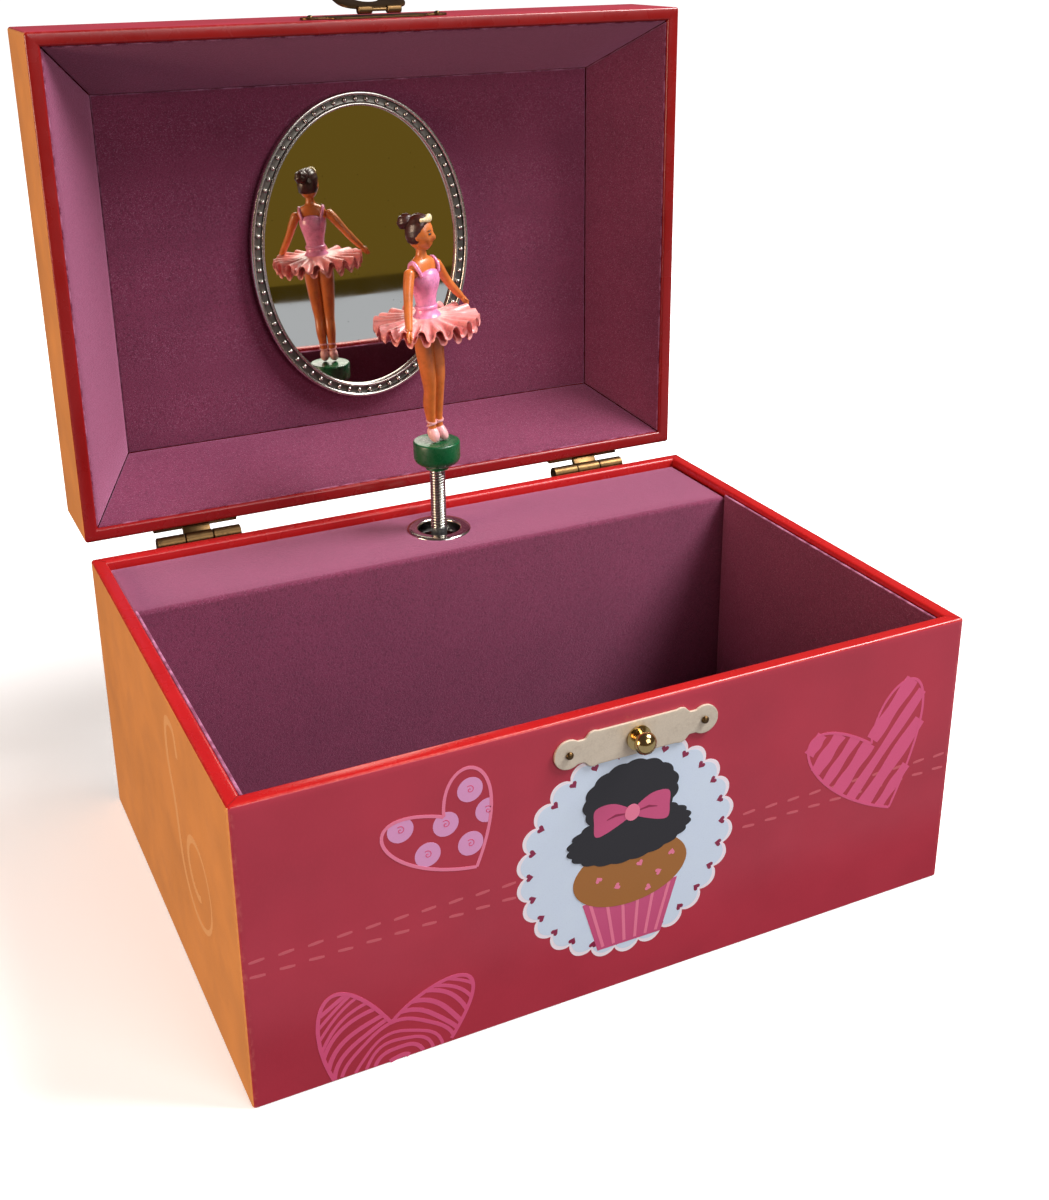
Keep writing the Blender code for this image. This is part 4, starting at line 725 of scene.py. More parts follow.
def walls():
    """The four walls as one papered shell: outer face, rounded rim and inner face carried round the box."""
    paper = chosen("paper")
    r = paper.rim_radius
    rim = [(inset, HEIGHT - drop) for inset, drop in quarter(r)][::-1]
    inner_rim = [(WALL - inset, HEIGHT - drop) for inset, drop in quarter(r)]
    outer = [(0.3 * MM, 0.0), (0.0, 0.3 * MM), (0.0, 1.6 * MM), (0.0, HEIGHT / 2)]
    outer += [(0.0, HEIGHT - r - 1.2 * MM)]
    inner = [(WALL, HEIGHT - r - 2 * MM), (WALL, FLOOR), (WALL, 0.0)]
    profile = outer + rim + inner_rim + inner
    grid, sides = box_shell(profile, HALF_W, HALF_D, paper.corner_radius)
    insets, heights = np.asarray(profile).T
    # Edge mask at the foot, the rim and the upright corners, lightened as scuffed paper and painted
    # highlight.
    row_wear_and_highlight = np.isclose(heights, 0.0) | (heights > HEIGHT - r * 0.9) & (insets < r)
    column_wear_and_highlight = corner_wear_and_highlight(grid.shape[1])
    wear_and_highlight = np.maximum(row_wear_and_highlight[:, None] * 0.8, column_wear_and_highlight[None] * (insets < r)[:, None])
    row_heights = (heights + np.roll(heights, -1)) / 2
    row_insets = (insets + np.roll(insets, -1)) / 2
    turned_in = (row_heights > HEIGHT - r * 0.75) | (row_insets > r)
    paint = np.where(turned_in[:, None], 2, (sides % 2)[None])
    shell = skin(grid, round_rows=True, round_columns=True, paint=paint.reshape(-1), wear_and_highlight=wear_and_highlight)
    finishes = paper_finishes()
    replaced = ["front_wall", "back_wall", "left_wall", "right_wall"]
    add_piece("papered_walls", "box", [shell], finishes, replaced)


def corner_wear_and_highlight(count):
    """Wear along a rectangle's path: full on the corners' arcs, none elsewhere."""
    side = count // 4
    along = np.arange(count) % side
    return np.where(along < 7, 1.0, 0.0)


PAPERS = {}


def paper_finishes(rim="rim"):
    """Front, side and rim paper, made once. The lid's rim is the darker one."""
    if not PAPERS:
        paper = chosen("paper")
        PAPERS["front"] = printed_paper("raspberry paper", paper.front_colour)
        PAPERS["side"] = printed_paper("orange gold paper", paper.side_colour, (0.85, 0.5, 0.25), 0.35, 0.36)
        PAPERS["rim"] = printed_paper("vermilion rim paper", paper.rim_colour, (0.8, 0.16, 0.1), 0.35, 0.24)
        # The lid's rim colour is the rim colour darkened as painted shade.
        shaded_lid_rim = toned(paper.rim_colour, 0.55)
        PAPERS["shaded lid rim"] = printed_paper("vermilion rim paper with painted shade", shaded_lid_rim, (0.6, 0.1, 0.07), 0.35, 0.24)
    return [PAPERS["front"], PAPERS["side"], PAPERS[rim]]


def rim_folds():
    """The creases where the paper is folded at the rim's four corners, as hair thin dark lines."""
    ink = print_ink("crease shade", srgb(120, 10, 12))
    half = 0.07 * MM
    skins = []
    for sx in (-1, 1):
        for sy in (-1, 1):
            start = np.array([sx * (HALF_W - 0.5 * MM), sy * (HALF_D - 0.5 * MM)])
            end = np.array([sx * (HALF_W - WALL + 0.3 * MM), sy * (HALF_D - WALL + 0.3 * MM)])
            flat = ribbon(np.stack([start, end]), half * 2, 0.02 * MM)
            skins.append(skin(flat + np.array([0, 0, HEIGHT]), round_columns=True))
    add_piece("rim_creases", "box", skins, [ink])


def base():
    """Grey board base, with soft edges, under the walls."""
    (left, front, foot), (right, back, top) = span("base_panel")
    corners = [(left, back, foot), (right, back, foot), (right, front, foot), (left, front, foot)]
    board = soft_board(corners, top - foot, 0.4 * MM)
    finish = grey_board("grey board", chosen("paper").board_colour)
    add_piece("base_board", "box", board, [finish], ["base_panel"])


def upright(node, outward):
    """Corners of an upright board's visible face, for soft_board, seen from the outward side."""
    low, high = span(node)
    face = np.where(np.asarray(outward) > 0, high, low)
    if abs(outward[0]) > 0:
        x, far, near = face[0], high[1], low[1]
        ends = (near, far) if outward[0] > 0 else (far, near)
        return [(x, ends[0], low[2]), (x, ends[1], low[2]), (x, ends[1], high[2]), (x, ends[0], high[2])]
    y = face[1]
    ends = (low[0], high[0]) if outward[1] < 0 else (high[0], low[0])
    return [(ends[0], y, low[2]), (ends[1], y, low[2]), (ends[1], y, high[2]), (ends[0], y, high[2])]


FLOCKS = {}


def flock_finish():
    """The flock of all the linings, made once."""
    if not FLOCKS:
        settings = chosen("flock")
        FLOCKS["plum"] = flock("plum flock", settings.colour, settings.light)
    return FLOCKS["plum"]


def linings():
    """Flocked linings of the floor, the front and the two sides."""
    edge = chosen("flock").edge
    finish = flock_finish()
    low, high = span("floor_lining")
    top = high[2]
    corners = [(low[0], low[1], top), (high[0], low[1], top), (high[0], high[1], top), (low[0], high[1], top)]
    boards = {
        "floor_lining": (corners, high[2] - low[2]),
        "front_lining": (upright("front_lining", (0, 1, 0)), LINING),
        "left_lining": (upright("left_lining", (1, 0, 0)), LINING),
        "right_lining": (upright("right_lining", (-1, 0, 0)), LINING),
    }
    for node, (corners, thickness) in boards.items():
        piece = "flocked_" + node
        add_piece(piece, "box", soft_board(corners, thickness, edge), [finish], [node])


def ledge():
    """The flocked ledge and the partition below it, as one section carried round the spindle's hole."""
    settings = chosen("flock")
    low, high = span("ledge_cover")
    board = high[2] - low[2]
    partition_low, partition_high = span("partition")
    partition = partition_high[1] - partition_low[1]
    steps = np.linspace(0, 1, 37)[:-1]
    beside = np.array([0.0, 0.1, 0.3, 0.5, 0.7, 0.9, 0.98])
    front = np.stack([low[0] + (high[0] - low[0]) * steps, np.full(len(steps), low[1])], -1)
    beside_right = np.array([0.0, 0.02, 0.1, 0.3, 0.5, 0.7, 0.9])
    right = np.stack([np.full(len(beside_right), high[0]), low[1] + (high[1] - low[1]) * beside_right], -1)
    back = np.stack([high[0] - (high[0] - low[0]) * steps, np.full(len(steps), high[1])], -1)
    left = np.stack([np.full(len(beside), low[0]), low[1] + (high[1] - low[1]) * (1 - beside)], -1)
    edge = np.concatenate([front, right, back, left])
    on_front = np.isclose(edge[:, 1], low[1])
    hole_radius = 6.5 * MM
    away = edge - SPINDLE[:2]
    hole = SPINDLE[:2] + hole_radius * away / np.linalg.norm(away, axis=1)[:, None]
    top = high[2]

    def row(flat, height):
        """A row of points at one height."""
        return np.concatenate([flat, np.broadcast_to(height, (len(flat),))[:, None]], 1)

    def inset(amount):
        """The edge, moved in from every side."""
        return np.clip(edge, low[:2] + amount, high[:2] - amount)

    fold = settings.fold_radius
    flat_edge = inset(fold)
    rows = [row(hole, top - board), row(hole, top - 0.2 * MM)]
    rows += [row(hole + (flat_edge - hole) * share, top) for share in (0.01, 0.06, 0.2, 0.45, 0.75, 1.0)]
    rows += [row(inset(a), top - d) for a, d in quarter(fold, 6)[1:]]
    bottom = np.where(on_front, partition_low[2], top - board)
    middle = np.where(on_front, (partition_low[2] + top) / 2, top - fold - 0.2 * MM)
    rows += [row(edge, middle), row(edge, bottom)]
    rows += [row(inset(partition), bottom), row(inset(partition), top - board)]
    shell = skin(np.stack(rows), round_rows=True, round_columns=True)
    replaced = ["ledge_cover", "partition"]
    add_piece("flocked_ledge", "box", [shell], [flock_finish()], replaced, 60)


# ---------------------------------------------------------------- lid


def lid_shell():
    """The lid's walls and top as one papered shell: a section carried round, closed at the top's middle."""
    paper = chosen("paper")
    r = paper.rim_radius
    board = LID_TOP - shut_span("lid_top_panel")[0][2]
    rim = [(inset, LID_RIM + drop) for inset, drop in quarter(r)]
    inner_rim = [(WALL - inset, LID_RIM + drop) for inset, drop in quarter(r)]
    crown = [(inset, LID_TOP - drop) for inset, drop in quarter(r * 1.4)]
    ceiling = LID_TOP - board
    profile = [(WALL + 12 * MM, ceiling), (WALL, ceiling), (WALL, LID_RIM + r + 2 * MM)]
    profile += inner_rim[::-1] + rim
    profile += [(0.0, LID_RIM + r + 1.2 * MM), (0.0, (LID_RIM + LID_TOP) / 2)]
    profile += crown[::-1] + [(3 * MM, LID_TOP), (15 * MM, LID_TOP), (40 * MM, LID_TOP)]
    grid, sides = box_shell(profile, HALF_W, HALF_D, paper.corner_radius)
    first = np.broadcast_to(np.array([0, 0, ceiling]), grid.shape[1:])
    last = np.broadcast_to(np.array([0, 0, LID_TOP]), grid.shape[1:])
    grid = np.concatenate([first[None], grid, last[None]])
    insets = np.array([99 * MM] + [p[0] for p in profile] + [99 * MM])
    heights = grid[:, 0, 2]
    row_heights = (heights[1:] + heights[:-1]) / 2
    row_insets = (insets[1:] + insets[:-1]) / 2
    turned_in = (row_heights < LID_RIM + r * 0.75) | ((row_insets > r) & (row_heights < LID_TOP - board / 2))
    on_top = row_heights > LID_TOP - r
    paint = np.where(turned_in[:, None], 2, np.where(on_top[:, None], 0, (sides % 2)[None]))
    # Edge mask at the rim, the top's edge and the upright corners, lightened as scuffed paper and painted
    # highlight.
    row_wear_and_highlight = ((heights < LID_RIM + r * 0.9) & (insets < r)) | ((heights > LID_TOP - r) & (insets < 2 * r))
    wear_and_highlight = np.maximum(row_wear_and_highlight[:, None] * 0.8, corner_wear_and_highlight(grid.shape[1])[None] * (insets < r)[:, None])
    shell = skin(opened(grid), round_columns=True, paint=paint.reshape(-1), wear_and_highlight=wear_and_highlight)
    replaced = ["lid_front_wall", "lid_back_wall", "lid_left_wall", "lid_right_wall", "lid_top_panel"]
    # The rim paper here is darkened as painted shade.
    add_piece("papered_lid", "lid", [shell], paper_finishes("shaded lid rim"), replaced)


def lid_linings():
    """The lid's flocked panel and the four boards that slope from the rim down to it."""
    edge = chosen("flock").edge
    finish = flock_finish()
    left, right = shut_span("lid_lining_left")[1][0], shut_span("lid_lining_right")[0][0]
    front, back = shut_span("lid_lining_front")[1][1], shut_span("lid_lining_back")[0][1]
    rim_z, face = shut_span("lid_lining_left")[0][2], shut_span("lid_lining_panel")[0][2]
    turns = ((-1, -1), (1, -1), (1, 1), (-1, 1))
    rim = [(sx * INNER_W, sy * INNER_D, rim_z) for sx, sy in turns]
    deep = [(x, y, face) for x, y in ((left, front), (right, front), (right, back), (left, back))]
    boards = {"lid_lining_panel": [deep[0], deep[3], deep[2], deep[1]]}
    for name, a, b in (("front", 1, 0), ("back", 3, 2), ("left", 0, 3), ("right", 2, 1)):
        boards["lid_lining_" + name] = [rim[a], rim[b], deep[b], deep[a]]
    for node, corners in boards.items():
        swung = [opened(np.array(corner)) for corner in corners]
        add_piece("flocked_" + node, "lid", soft_board(swung, LINING, edge), [finish], [node])


def mirror_place():
    """Centre and half sizes of the mirror's frame, and the heights of its back, front and glass, lid shut."""
    low, high = shut_span("mirror_frame")
    glass = shut_span("mirror_glass")[0][2]
    return (low + high)[:2] / 2, (high - low)[:2] / 2, high[2], low[2], glass


def mirror():
    """Oval mirror: a pressed frame of two rolled rims with beads between, round the silvered glass."""
    settings = chosen("fittings")
    centre, half, back, front, glass = mirror_place()
    rise = back - front
    roll = np.linspace(0, math.pi, 9)
    big, small = 0.6 * MM, 0.45 * MM
    outer_roll = [(big * (1 - math.cos(a)), rise - big + big * math.sin(a)) for a in roll]
    inner_roll = [(3.1 * MM + small * (1 - math.cos(a)), rise - 0.7 * MM + small * math.sin(a)) for a in roll]
    channel = [(1.35 * MM, rise - 1.0 * MM), (2.2 * MM, rise - 1.15 * MM), (2.95 * MM, rise - 1.0 * MM)]
    profile = [(0.15 * MM, 0.0), (0.0, 0.5 * MM)] + outer_roll + channel + inner_roll
    profile += [(4.05 * MM, back - glass + 0.1 * MM), (4.05 * MM, 0.0)]
    flat, rises = oval_ring(profile, half, centre)
    grid = np.concatenate([flat, (back - rises)[..., None]], -1)
    channel_start, channel_end = 1 + len(outer_roll), 2 + len(outer_roll) + len(channel)
    row = np.arange(len(profile))
    in_channel = (row >= channel_start) & (row < channel_end)
    paint = np.repeat(in_channel.astype(int), grid.shape[1])
    skins = [skin(opened(grid), round_rows=True, round_columns=True, paint=paint)]
    bead_row = half - 2.15 * MM
    angle = even_oval_angles(bead_row, settings.bead_count)
    places = np.stack([bead_row[0] * np.cos(angle), bead_row[1] * np.sin(angle)], -1) + centre
    radius = settings.bead_radius
    for place in places:
        bead = ball(np.array([*place, back - rise + 0.75 * MM]), radius)
        skins.append(skin(opened(bead), round_columns=True))
    frame_finish = metal("mirror frame silver", settings.frame_colour, 0.16, (0.10, 0.085, 0.05), 0.35)
    # The channel is the frame colour darkened as painted shade, with tarnish patches.
    channel_shade_finish = metal("channel with painted shade", toned(settings.frame_colour, 0.3), 0.3, tarnish_share=0.6)
    finishes = [frame_finish, channel_shade_finish]
    add_piece("mirror_beaded_frame", "lid", skins, finishes, ["mirror_frame"], 50)
    glass_half = half - 3.7 * MM
    c, s = circle(120)
    shares = [0, 0.3, 0.6, 0.85, 1.0, 1.0, 0.0]
    depths = [glass, glass, glass, glass, glass + 0.02 * MM, glass + 0.7 * MM, glass + 0.7 * MM]
    rows = []
    for k, z in zip(shares, depths):
        x, y = centre[0] + k * glass_half[0] * c, centre[1] + k * glass_half[1] * s
        rows.append(np.stack([x, y, np.full(len(c), z)], -1))
    pane = skin(opened(np.stack(rows)), round_columns=True)
    glass_finish = silvered_glass("silvered glass", settings.glass_colour)
    add_piece("mirror_silvered_glass", "lid", [pane], [glass_finish], ["mirror_glass"])


def even_oval_angles(half, count):
    """Angles that space points evenly along an oval, by inverting its running length."""
    fine = np.linspace(0, 2 * math.pi, 2001)
    speed = np.hypot(half[0] * np.sin(fine), half[1] * np.cos(fine))
    run = np.concatenate([[0], np.cumsum((speed[1:] + speed[:-1]) / 2)])
    return np.interp(np.linspace(0, run[-1], count, endpoint=False), run, fine)


# ---------------------------------------------------------------- print


def ribbon(path, width, rise):
    """A printed line: a thin strip along a flat path, closed all round. Returns x, y and height."""
    path = np.asarray(path, float)
    run = np.gradient(path, axis=0)
    run /= np.linalg.norm(run, axis=1)[:, None] + 1e-12
    side = np.stack([-run[:, 1], run[:, 0]], -1) * np.broadcast_to(width, (len(path),))[:, None] / 2
    corners = [path - side, path + side, path + side, path - side]
    heights = [0.0, 0.0, rise, rise]
    grid = np.stack([np.concatenate([p, np.full((len(p), 1), h)], 1) for p, h in zip(corners, heights)], 1)
    ends = [np.broadcast_to(grid[k].mean(0), grid[k].shape)[None] for k in (0, -1)]
    return np.concatenate([ends[0], grid, ends[1]])


def patch(outline, rise, centre=None):
    """A printed shape: rings that shrink from outline to middle, closed underneath, as x, y and height."""
    outline = np.asarray(outline, float)
    middle = outline.mean(0) if centre is None else np.asarray(centre, float)
    rings = []
    for share, height in zip((0, 1, 1, 0.5, 0), (0.0, 0.0, rise, rise, rise)):
        level = np.full((len(outline), 1), height)
        rings.append(np.concatenate([middle + (outline - middle) * share, level], 1))
    return np.stack(rings)


def inside(points, outline):
    """Which points lie inside the outline: those whose ray to the right crosses it an odd number of times."""
    a, b = outline, np.roll(outline, -1, axis=0)
    x, y = points[:, 0, None], points[:, 1, None]
    straddles = (a[:, 1] > y) != (b[:, 1] > y)
    step = b[:, 1] - a[:, 1]
    cross = a[:, 0] + (y - a[:, 1]) * (b[:, 0] - a[:, 0]) / np.where(step == 0, 1e-12, step)
    return ((straddles & (x < cross)).sum(1) % 2).astype(bool)


def runs_inside(path, outline):
    """The stretches of a path that lie inside an outline and have at least six points."""
    kept = inside(path, outline)
    steps = np.flatnonzero(np.diff(np.concatenate([[0], kept.astype(int), [0]])))
    return [path[a:b] for a, b in zip(steps[::2], steps[1::2]) if b - a >= 6]


def bezier(points, count):
    """Cubic Bezier curve through its first and last point."""
    a, b, c, d = (np.asarray(p, float) for p in points)
    t = np.linspace(0, 1, count, endpoint=False)[:, None]
    return (1 - t) ** 3 * a + 3 * (1 - t) ** 2 * t * b + 3 * (1 - t) * t**2 * c + t**3 * d


def drawn_heart(notch, right_pulls, tip, left_pulls, count=48):
    """A heart drawn by hand: two Bezier curves, from the notch down to the tip and back up."""
    down = bezier([notch, *right_pulls, tip], count)
    return np.concatenate([down, bezier([tip, *left_pulls, notch], count)]) * MM


def small_heart(centre, size, angle, count=14):
    """The classic heart curve, 16 sin^3 t across and 13 cos t - 5 cos 2t - 2 cos 3t - cos 4t up."""
    t = np.linspace(0, 2 * math.pi, count, endpoint=False)
    x = 16 * np.sin(t) ** 3 / 16
    y = (13 * np.cos(t) - 5 * np.cos(2 * t) - 2 * np.cos(3 * t) - np.cos(4 * t)) / 16
    c, s = math.cos(angle), math.sin(angle)
    return np.stack([x * c - y * s, x * s + y * c], -1) * size + np.asarray(centre)


class Print:
    """Printed shapes on one face of the box or the lid, kept by colour."""

    def __init__(self, face):
        self.face = face
        self.skins = []
        self.layer = chosen("print").layer

    def add(self, flat, ink, level):
        """Places a flat shape on the face. level is how many layers of ink it stands above the paper."""
        across, up, outward, distance = FACES[self.face]
        lift = flat[..., 2:] * (self.layer * level) + distance
        points = flat[..., :1] * across + flat[..., 1:2] * up + lift * outward
        if self.face == "lid_top":
            points = opened(points)
        self.skins.append(skin(points, round_columns=True, paint=ink))

    def line(self, path, width, ink, level):
        """Prints a line along a path."""
        self.add(ribbon(path, width, 1.0), ink, level)

    def shape(self, outline, ink, level, centre=None):
        """Prints a filled shape."""
        self.add(patch(outline, 1.0, centre), ink, level)


# Each face that carries print: the way its print runs, its way up, its way outward and how far out it lies.
FACES = {
    "front": (RIGHT, UP, -BACK, HALF_D),
    "back": (-RIGHT, UP, BACK, HALF_D),
    "left": (-BACK, UP, -RIGHT, HALF_W),
    "right": (BACK, UP, RIGHT, HALF_W),
    "lid_top": (RIGHT, BACK, UP, LID_TOP),
}


LINE, DOT, DEEP, DASH, LACE, SKY, HOLE, ICING, CAKE, BOW, SWIRL = range(11)


INKS = []


def inks():
    """The printing inks, in the order of their numbers, made once."""
    if not INKS:
        p = chosen("print")
        colours = {
            "pink line ink": p.line_colour,
            "lilac dot ink": p.dot_colour,
            "deep pink ink": p.deep_colour,
            "dash ink": p.dash_colour,
            "lace ink": p.lace_colour,
            "pale blue ink": p.sky_colour,
            "plum ink": p.hole_colour,
            "black ink": p.icing_colour,
            "brown ink": p.cake_colour,
            "rose ink": p.bow_colour,
            "light gold ink": p.swirl_colour,
        }
        INKS.extend(print_ink(name, colour) for name, colour in colours.items())
    return INKS


# Each heart: its notch, the pulls of its right half, its tip, and the pulls of its left half, in mm.
DOTTED_HEART = ((-45.6, 57.8), ((-46.4, 74.5), (-27.0, 71.0)), (-38.4, 43.4), ((-62.5, 46.5), (-67.0, 66.0)))
STRIPED_HEART = ((65.0, 45.3), ((65.5, 65.0), (92.5, 71.5)), (72.2, 25.6), ((40.5, 37.0), (38.0, 64.0)))
RINGED_HEART = ((-59.0, 10.5), ((-50.0, 20.0), (-20.5, 25.5)), (-59.5, -16.0), ((-82.0, -1.0), (-79.0, 43.0)))
HEART_DOTS = ((-39.6, 62.6), (-55.2, 57.4), (-45.2, 55.9), (-35.6, 56.6), (-39.7, 49.6), (-49.4, 49.8))


def outline_of_heart(sheet, outline, width, ink, level, lowest=-1.0):
    """The two halves of a heart's outline above the lowest height, the second a little above the first."""
    half = len(outline) // 2
    closed = np.concatenate([outline, outline[:1]])
    for number, part in enumerate((closed[: half + 1], closed[half:])):
        sheet.line(part[lowest < part[:, 1]], width, ink, level + 0.35 * number)


def dotted_heart(sheet):
    """Outline heart with lilac dots, each cut where it meets the outline."""
    outline = drawn_heart(*DOTTED_HEART)
    for x, y in HEART_DOTS:
        centre = np.array([x, y]) * MM
        c, s = circle(28)
        ring = centre + np.stack([c, s], -1) * 2.9 * MM
        for _ in range(24):
            out = ~inside(ring, outline)
            ring[out] = centre + (ring[out] - centre) * 0.93
        sheet.shape(ring, DOT, 1, centre)
        curl = np.linspace(0.5, 8.5, 26)
        coil = centre + np.stack([np.cos(curl), np.sin(curl)], -1) * (curl * 0.12 * MM)[:, None]
        for run in runs_inside(coil, ring):
            sheet.line(run, 0.22 * MM, DEEP, 2)
    outline_of_heart(sheet, outline, 0.75 * MM, LINE, 2)


def striped_heart(sheet):
    """Heart with broad slanting stripes and a thin outline."""
    outline = drawn_heart(*STRIPED_HEART)
    slant = math.radians(52)
    along = np.array([math.cos(slant), math.sin(slant)])
    across = np.array([math.sin(slant), -math.cos(slant)])
    middle = np.array([64.0, 45.0]) * MM
    for k, width in zip(range(-5, 5), (2.6, 3.0, 3.4, 3.8, 3.0, 3.9, 2.9, 4.0, 3.0, 2.6)):
        line = middle + across * k * 5.0 * MM + along * np.linspace(-34, 34, 240)[:, None] * MM
        for run in runs_inside(line, outline):
            waver = 1 + 0.12 * np.sin(np.linspace(0, 9, len(run)) + k)
            sheet.line(run, width * MM * waver, DEEP, 1)
    outline_of_heart(sheet, outline, 0.7 * MM, DEEP, 1.5)


def ringed_heart(sheet):
    """Heart filled with rings round a point near its tip, cut off by the box's lower edge."""
    outline = drawn_heart(*RINGED_HEART)
    centre = np.array([-57.5, -3.0]) * MM
    angle = np.linspace(0, math.pi, 200)
    for k in range(1, 15):
        radius = (k * 2.15 + 0.25 * math.sin(k * 2.3)) * MM
        wavy = radius * (1 + 0.035 * np.sin(angle * 5 + k))
        ring = centre + np.stack([np.cos(angle), np.sin(angle)], -1) * wavy[:, None]
        ring = ring[ring[:, 1] > 0.4 * MM]
        for run in runs_inside(ring, outline):
            sheet.line(run, (0.95 + 0.2 * math.sin(k)) * MM, DEEP, 1)
    outline_of_heart(sheet, outline, 0.9 * MM, DEEP, 1.5, 0.4 * MM)


def dashes(sheet, start, end, ink=DASH, rows=(36.4, 32.7)):
    """Two rows of dashes like a running stitch."""
    pitch = chosen("print").dash_pitch
    places = np.arange(start * MM, end * MM, pitch)
    for number, height in enumerate(rows):
        for x in places:
            tilt = 0.12 * MM * (1 if number else -1)
            path = np.stack([np.linspace(x, x + 3.3 * MM, 5), height * MM + np.linspace(tilt, -tilt, 5)], -1)
            sheet.line(path, np.array([0.5, 0.72, 0.75, 0.7, 0.5]) * MM, ink, 0.6)


def medallion(sheet):
    """Scalloped lace medallion with small hearts cut in its edge, and an iced cake with a bow inside."""
    count = chosen("print").scallops
    centre = np.array([-1.5, 36.6]) * MM
    angle = round_angles(count * 12)
    scallop = np.abs(np.sin(angle * count / 2))
    radius = (25.9 + 1.9 * scallop**0.7) * MM
    edge = centre + np.stack([np.cos(angle), np.sin(angle)], -1) * radius[:, None]
    sheet.shape(edge, LACE, 1.3, centre)
    sheet.shape(centre + (edge - centre) * 0.965, SKY, 2, centre)
    for k in range(count):
        turn_to = 2 * math.pi * k / count
        place = centre + np.array([math.cos(turn_to), math.sin(turn_to)]) * 24.6 * MM
        sheet.shape(small_heart(place, 1.0 * MM, turn_to - math.pi / 2), HOLE, 3)
    cake(sheet)


def cake(sheet):
    """A small iced cake in a pleated paper case, tied with a bow."""
    case_top, case_foot = 25.0, 11.5
    case = [(-13.0, case_top), (-9.0, case_foot), (7.5, case_foot), (11.5, case_top)]
    side = [np.linspace(case[k], case[(k + 1) % 4], 10, endpoint=False) for k in range(4)]
    sheet.shape(np.concatenate(side) * MM, BOW, 4)
    for k in range(6):
        share = (k + 0.5) / 6
        foot, top = -9.0 + 16.5 * share, -13.0 + 24.5 * share
        middle = ((foot + top) / 2, (case_foot + case_top) / 2)
        pleat = np.array([(foot, case_foot + 0.6), middle, (top, case_top - 0.6)])
        sheet.line(pleat * MM, 0.8 * MM, LINE, 5)
    c, s = circle(72)
    body = np.stack([-0.8 + 14.6 * c, 30.5 + 8.6 * s], -1)
    sheet.shape(body * MM, CAKE, 6)
    angle = round_angles(216)
    tiers = ((-1.2, 40.2, 15.2, 6.6, 20, 8), (-1.0, 50.0, 11.6, 8.6, 15, 9))
    for x, y, wide, high, bumps, level in tiers:
        bulge = 1 + 0.055 * np.abs(np.sin(angle * bumps / 2))
        tier = np.stack([x + wide * bulge * np.cos(angle), y + high * bulge * np.sin(angle)], -1)
        sheet.shape(tier * MM, ICING, level)
    knots = [(0, 45.8), (4.5, 49.2), (9.2, 49.0), (9.6, 45.4), (9.0, 41.9), (4.4, 43.0)]
    for flip in (-1, 1):
        loop = smooth(knots, 40, closed=True)
        loop[:, 0] = -0.8 + flip * loop[:, 0]
        sheet.shape(loop * MM, BOW, 10 + 0.5 * flip)
        crease = np.array([(-0.8 + flip * 1.6, 45.9), (-0.8 + flip * 4.2, 46.2), (-0.8 + flip * 6.4, 45.6)])
        sheet.line(crease * MM, np.array([0.3, 0.6, 0.15]) * MM, HOLE, 11.5)
    knot = np.stack([-0.8 + 1.9 * c[::3], 45.8 + 2.1 * s[::3]], -1)
    sheet.shape(knot * MM, LINE, 12.5)
    for x, y in ((-9.0, 30.5), (-4.2, 27.4), (1.5, 31.8), (6.4, 28.0), (9.8, 32.2), (3.8, 24.6)):
        sheet.shape(small_heart(np.array([x, y]) * MM, 0.9 * MM, 0.3 * x), LINE, 7)


def front_print():
    """Everything printed on the front."""
    sheet = Print("front")
    dotted_heart(sheet)
    striped_heart(sheet)
    ringed_heart(sheet)
    dashes(sheet, -88.4, -31.5)
    dashes(sheet, 29.0, 87.0)
    medallion(sheet)
    add_piece("front_print", "box", sheet.skins, inks())


def side_print():
    """A loose curl on each side: a spiral whose radius grows evenly with its angle, and a bent tail."""
    turn_on = np.linspace(0.7, 2.0, 26) * 2 * math.pi
    coil = np.stack([32 - 1.15 * turn_on * np.cos(turn_on), 36 + 1.15 * turn_on * np.sin(turn_on)], -1)
    tail = np.array([(16.0, 46), (12.5, 56), (14.0, 65.5), (20.5, 66.5), (22.5, 60.5)], float)
    path = smooth(np.concatenate([coil, tail]), 160)
    width = (1.7 + 0.6 * np.sin(np.linspace(0, 9, len(path)))) * MM
    for side in ("left", "right"):
        sheet = Print(side)
        sheet.line(path * MM, width, SWIRL, 1)
        add_piece(side + "_print", "box", sheet.skins, inks())


def plain_print():
    """The guessed print of the back and of the lid's top: dashes and a few hearts."""
    sheet = Print("back")
    dashes(sheet, -86.0, -16.0)
    dashes(sheet, 14.0, 86.0)
    striped_heart(sheet)
    add_piece("back_print", "box", sheet.skins, inks())
    sheet = Print("lid_top")
    centre = np.array([0.0, 2.0]) * MM
    for size, width in ((30, 1.1), (26.5, 0.7)):
        outline = small_heart(centre, size * MM, 0.12, 120)
        outline_of_heart(sheet, outline, width * MM, LINE if size == 30 else DEEP, 1)
    for x, y, size, tilt in ((-60, 34, 11, 0.5), (62, -30, 12, -0.4), (-58, -36, 8, -0.2), (60, 38, 8, 0.3)):
        outline = small_heart(np.array([x, y]) * MM, size * MM, tilt, 60)
        outline_of_heart(sheet, outline, 0.8 * MM, DEEP, 1)
    dashes(sheet, -86, 86, DASH, (-58, -54.5))
    dashes(sheet, -86, 86, DASH, (58, 54.5))
    add_piece("lid_print", "lid", sheet.skins, inks())


# ---------------------------------------------------------------- fittings


METALS = {}


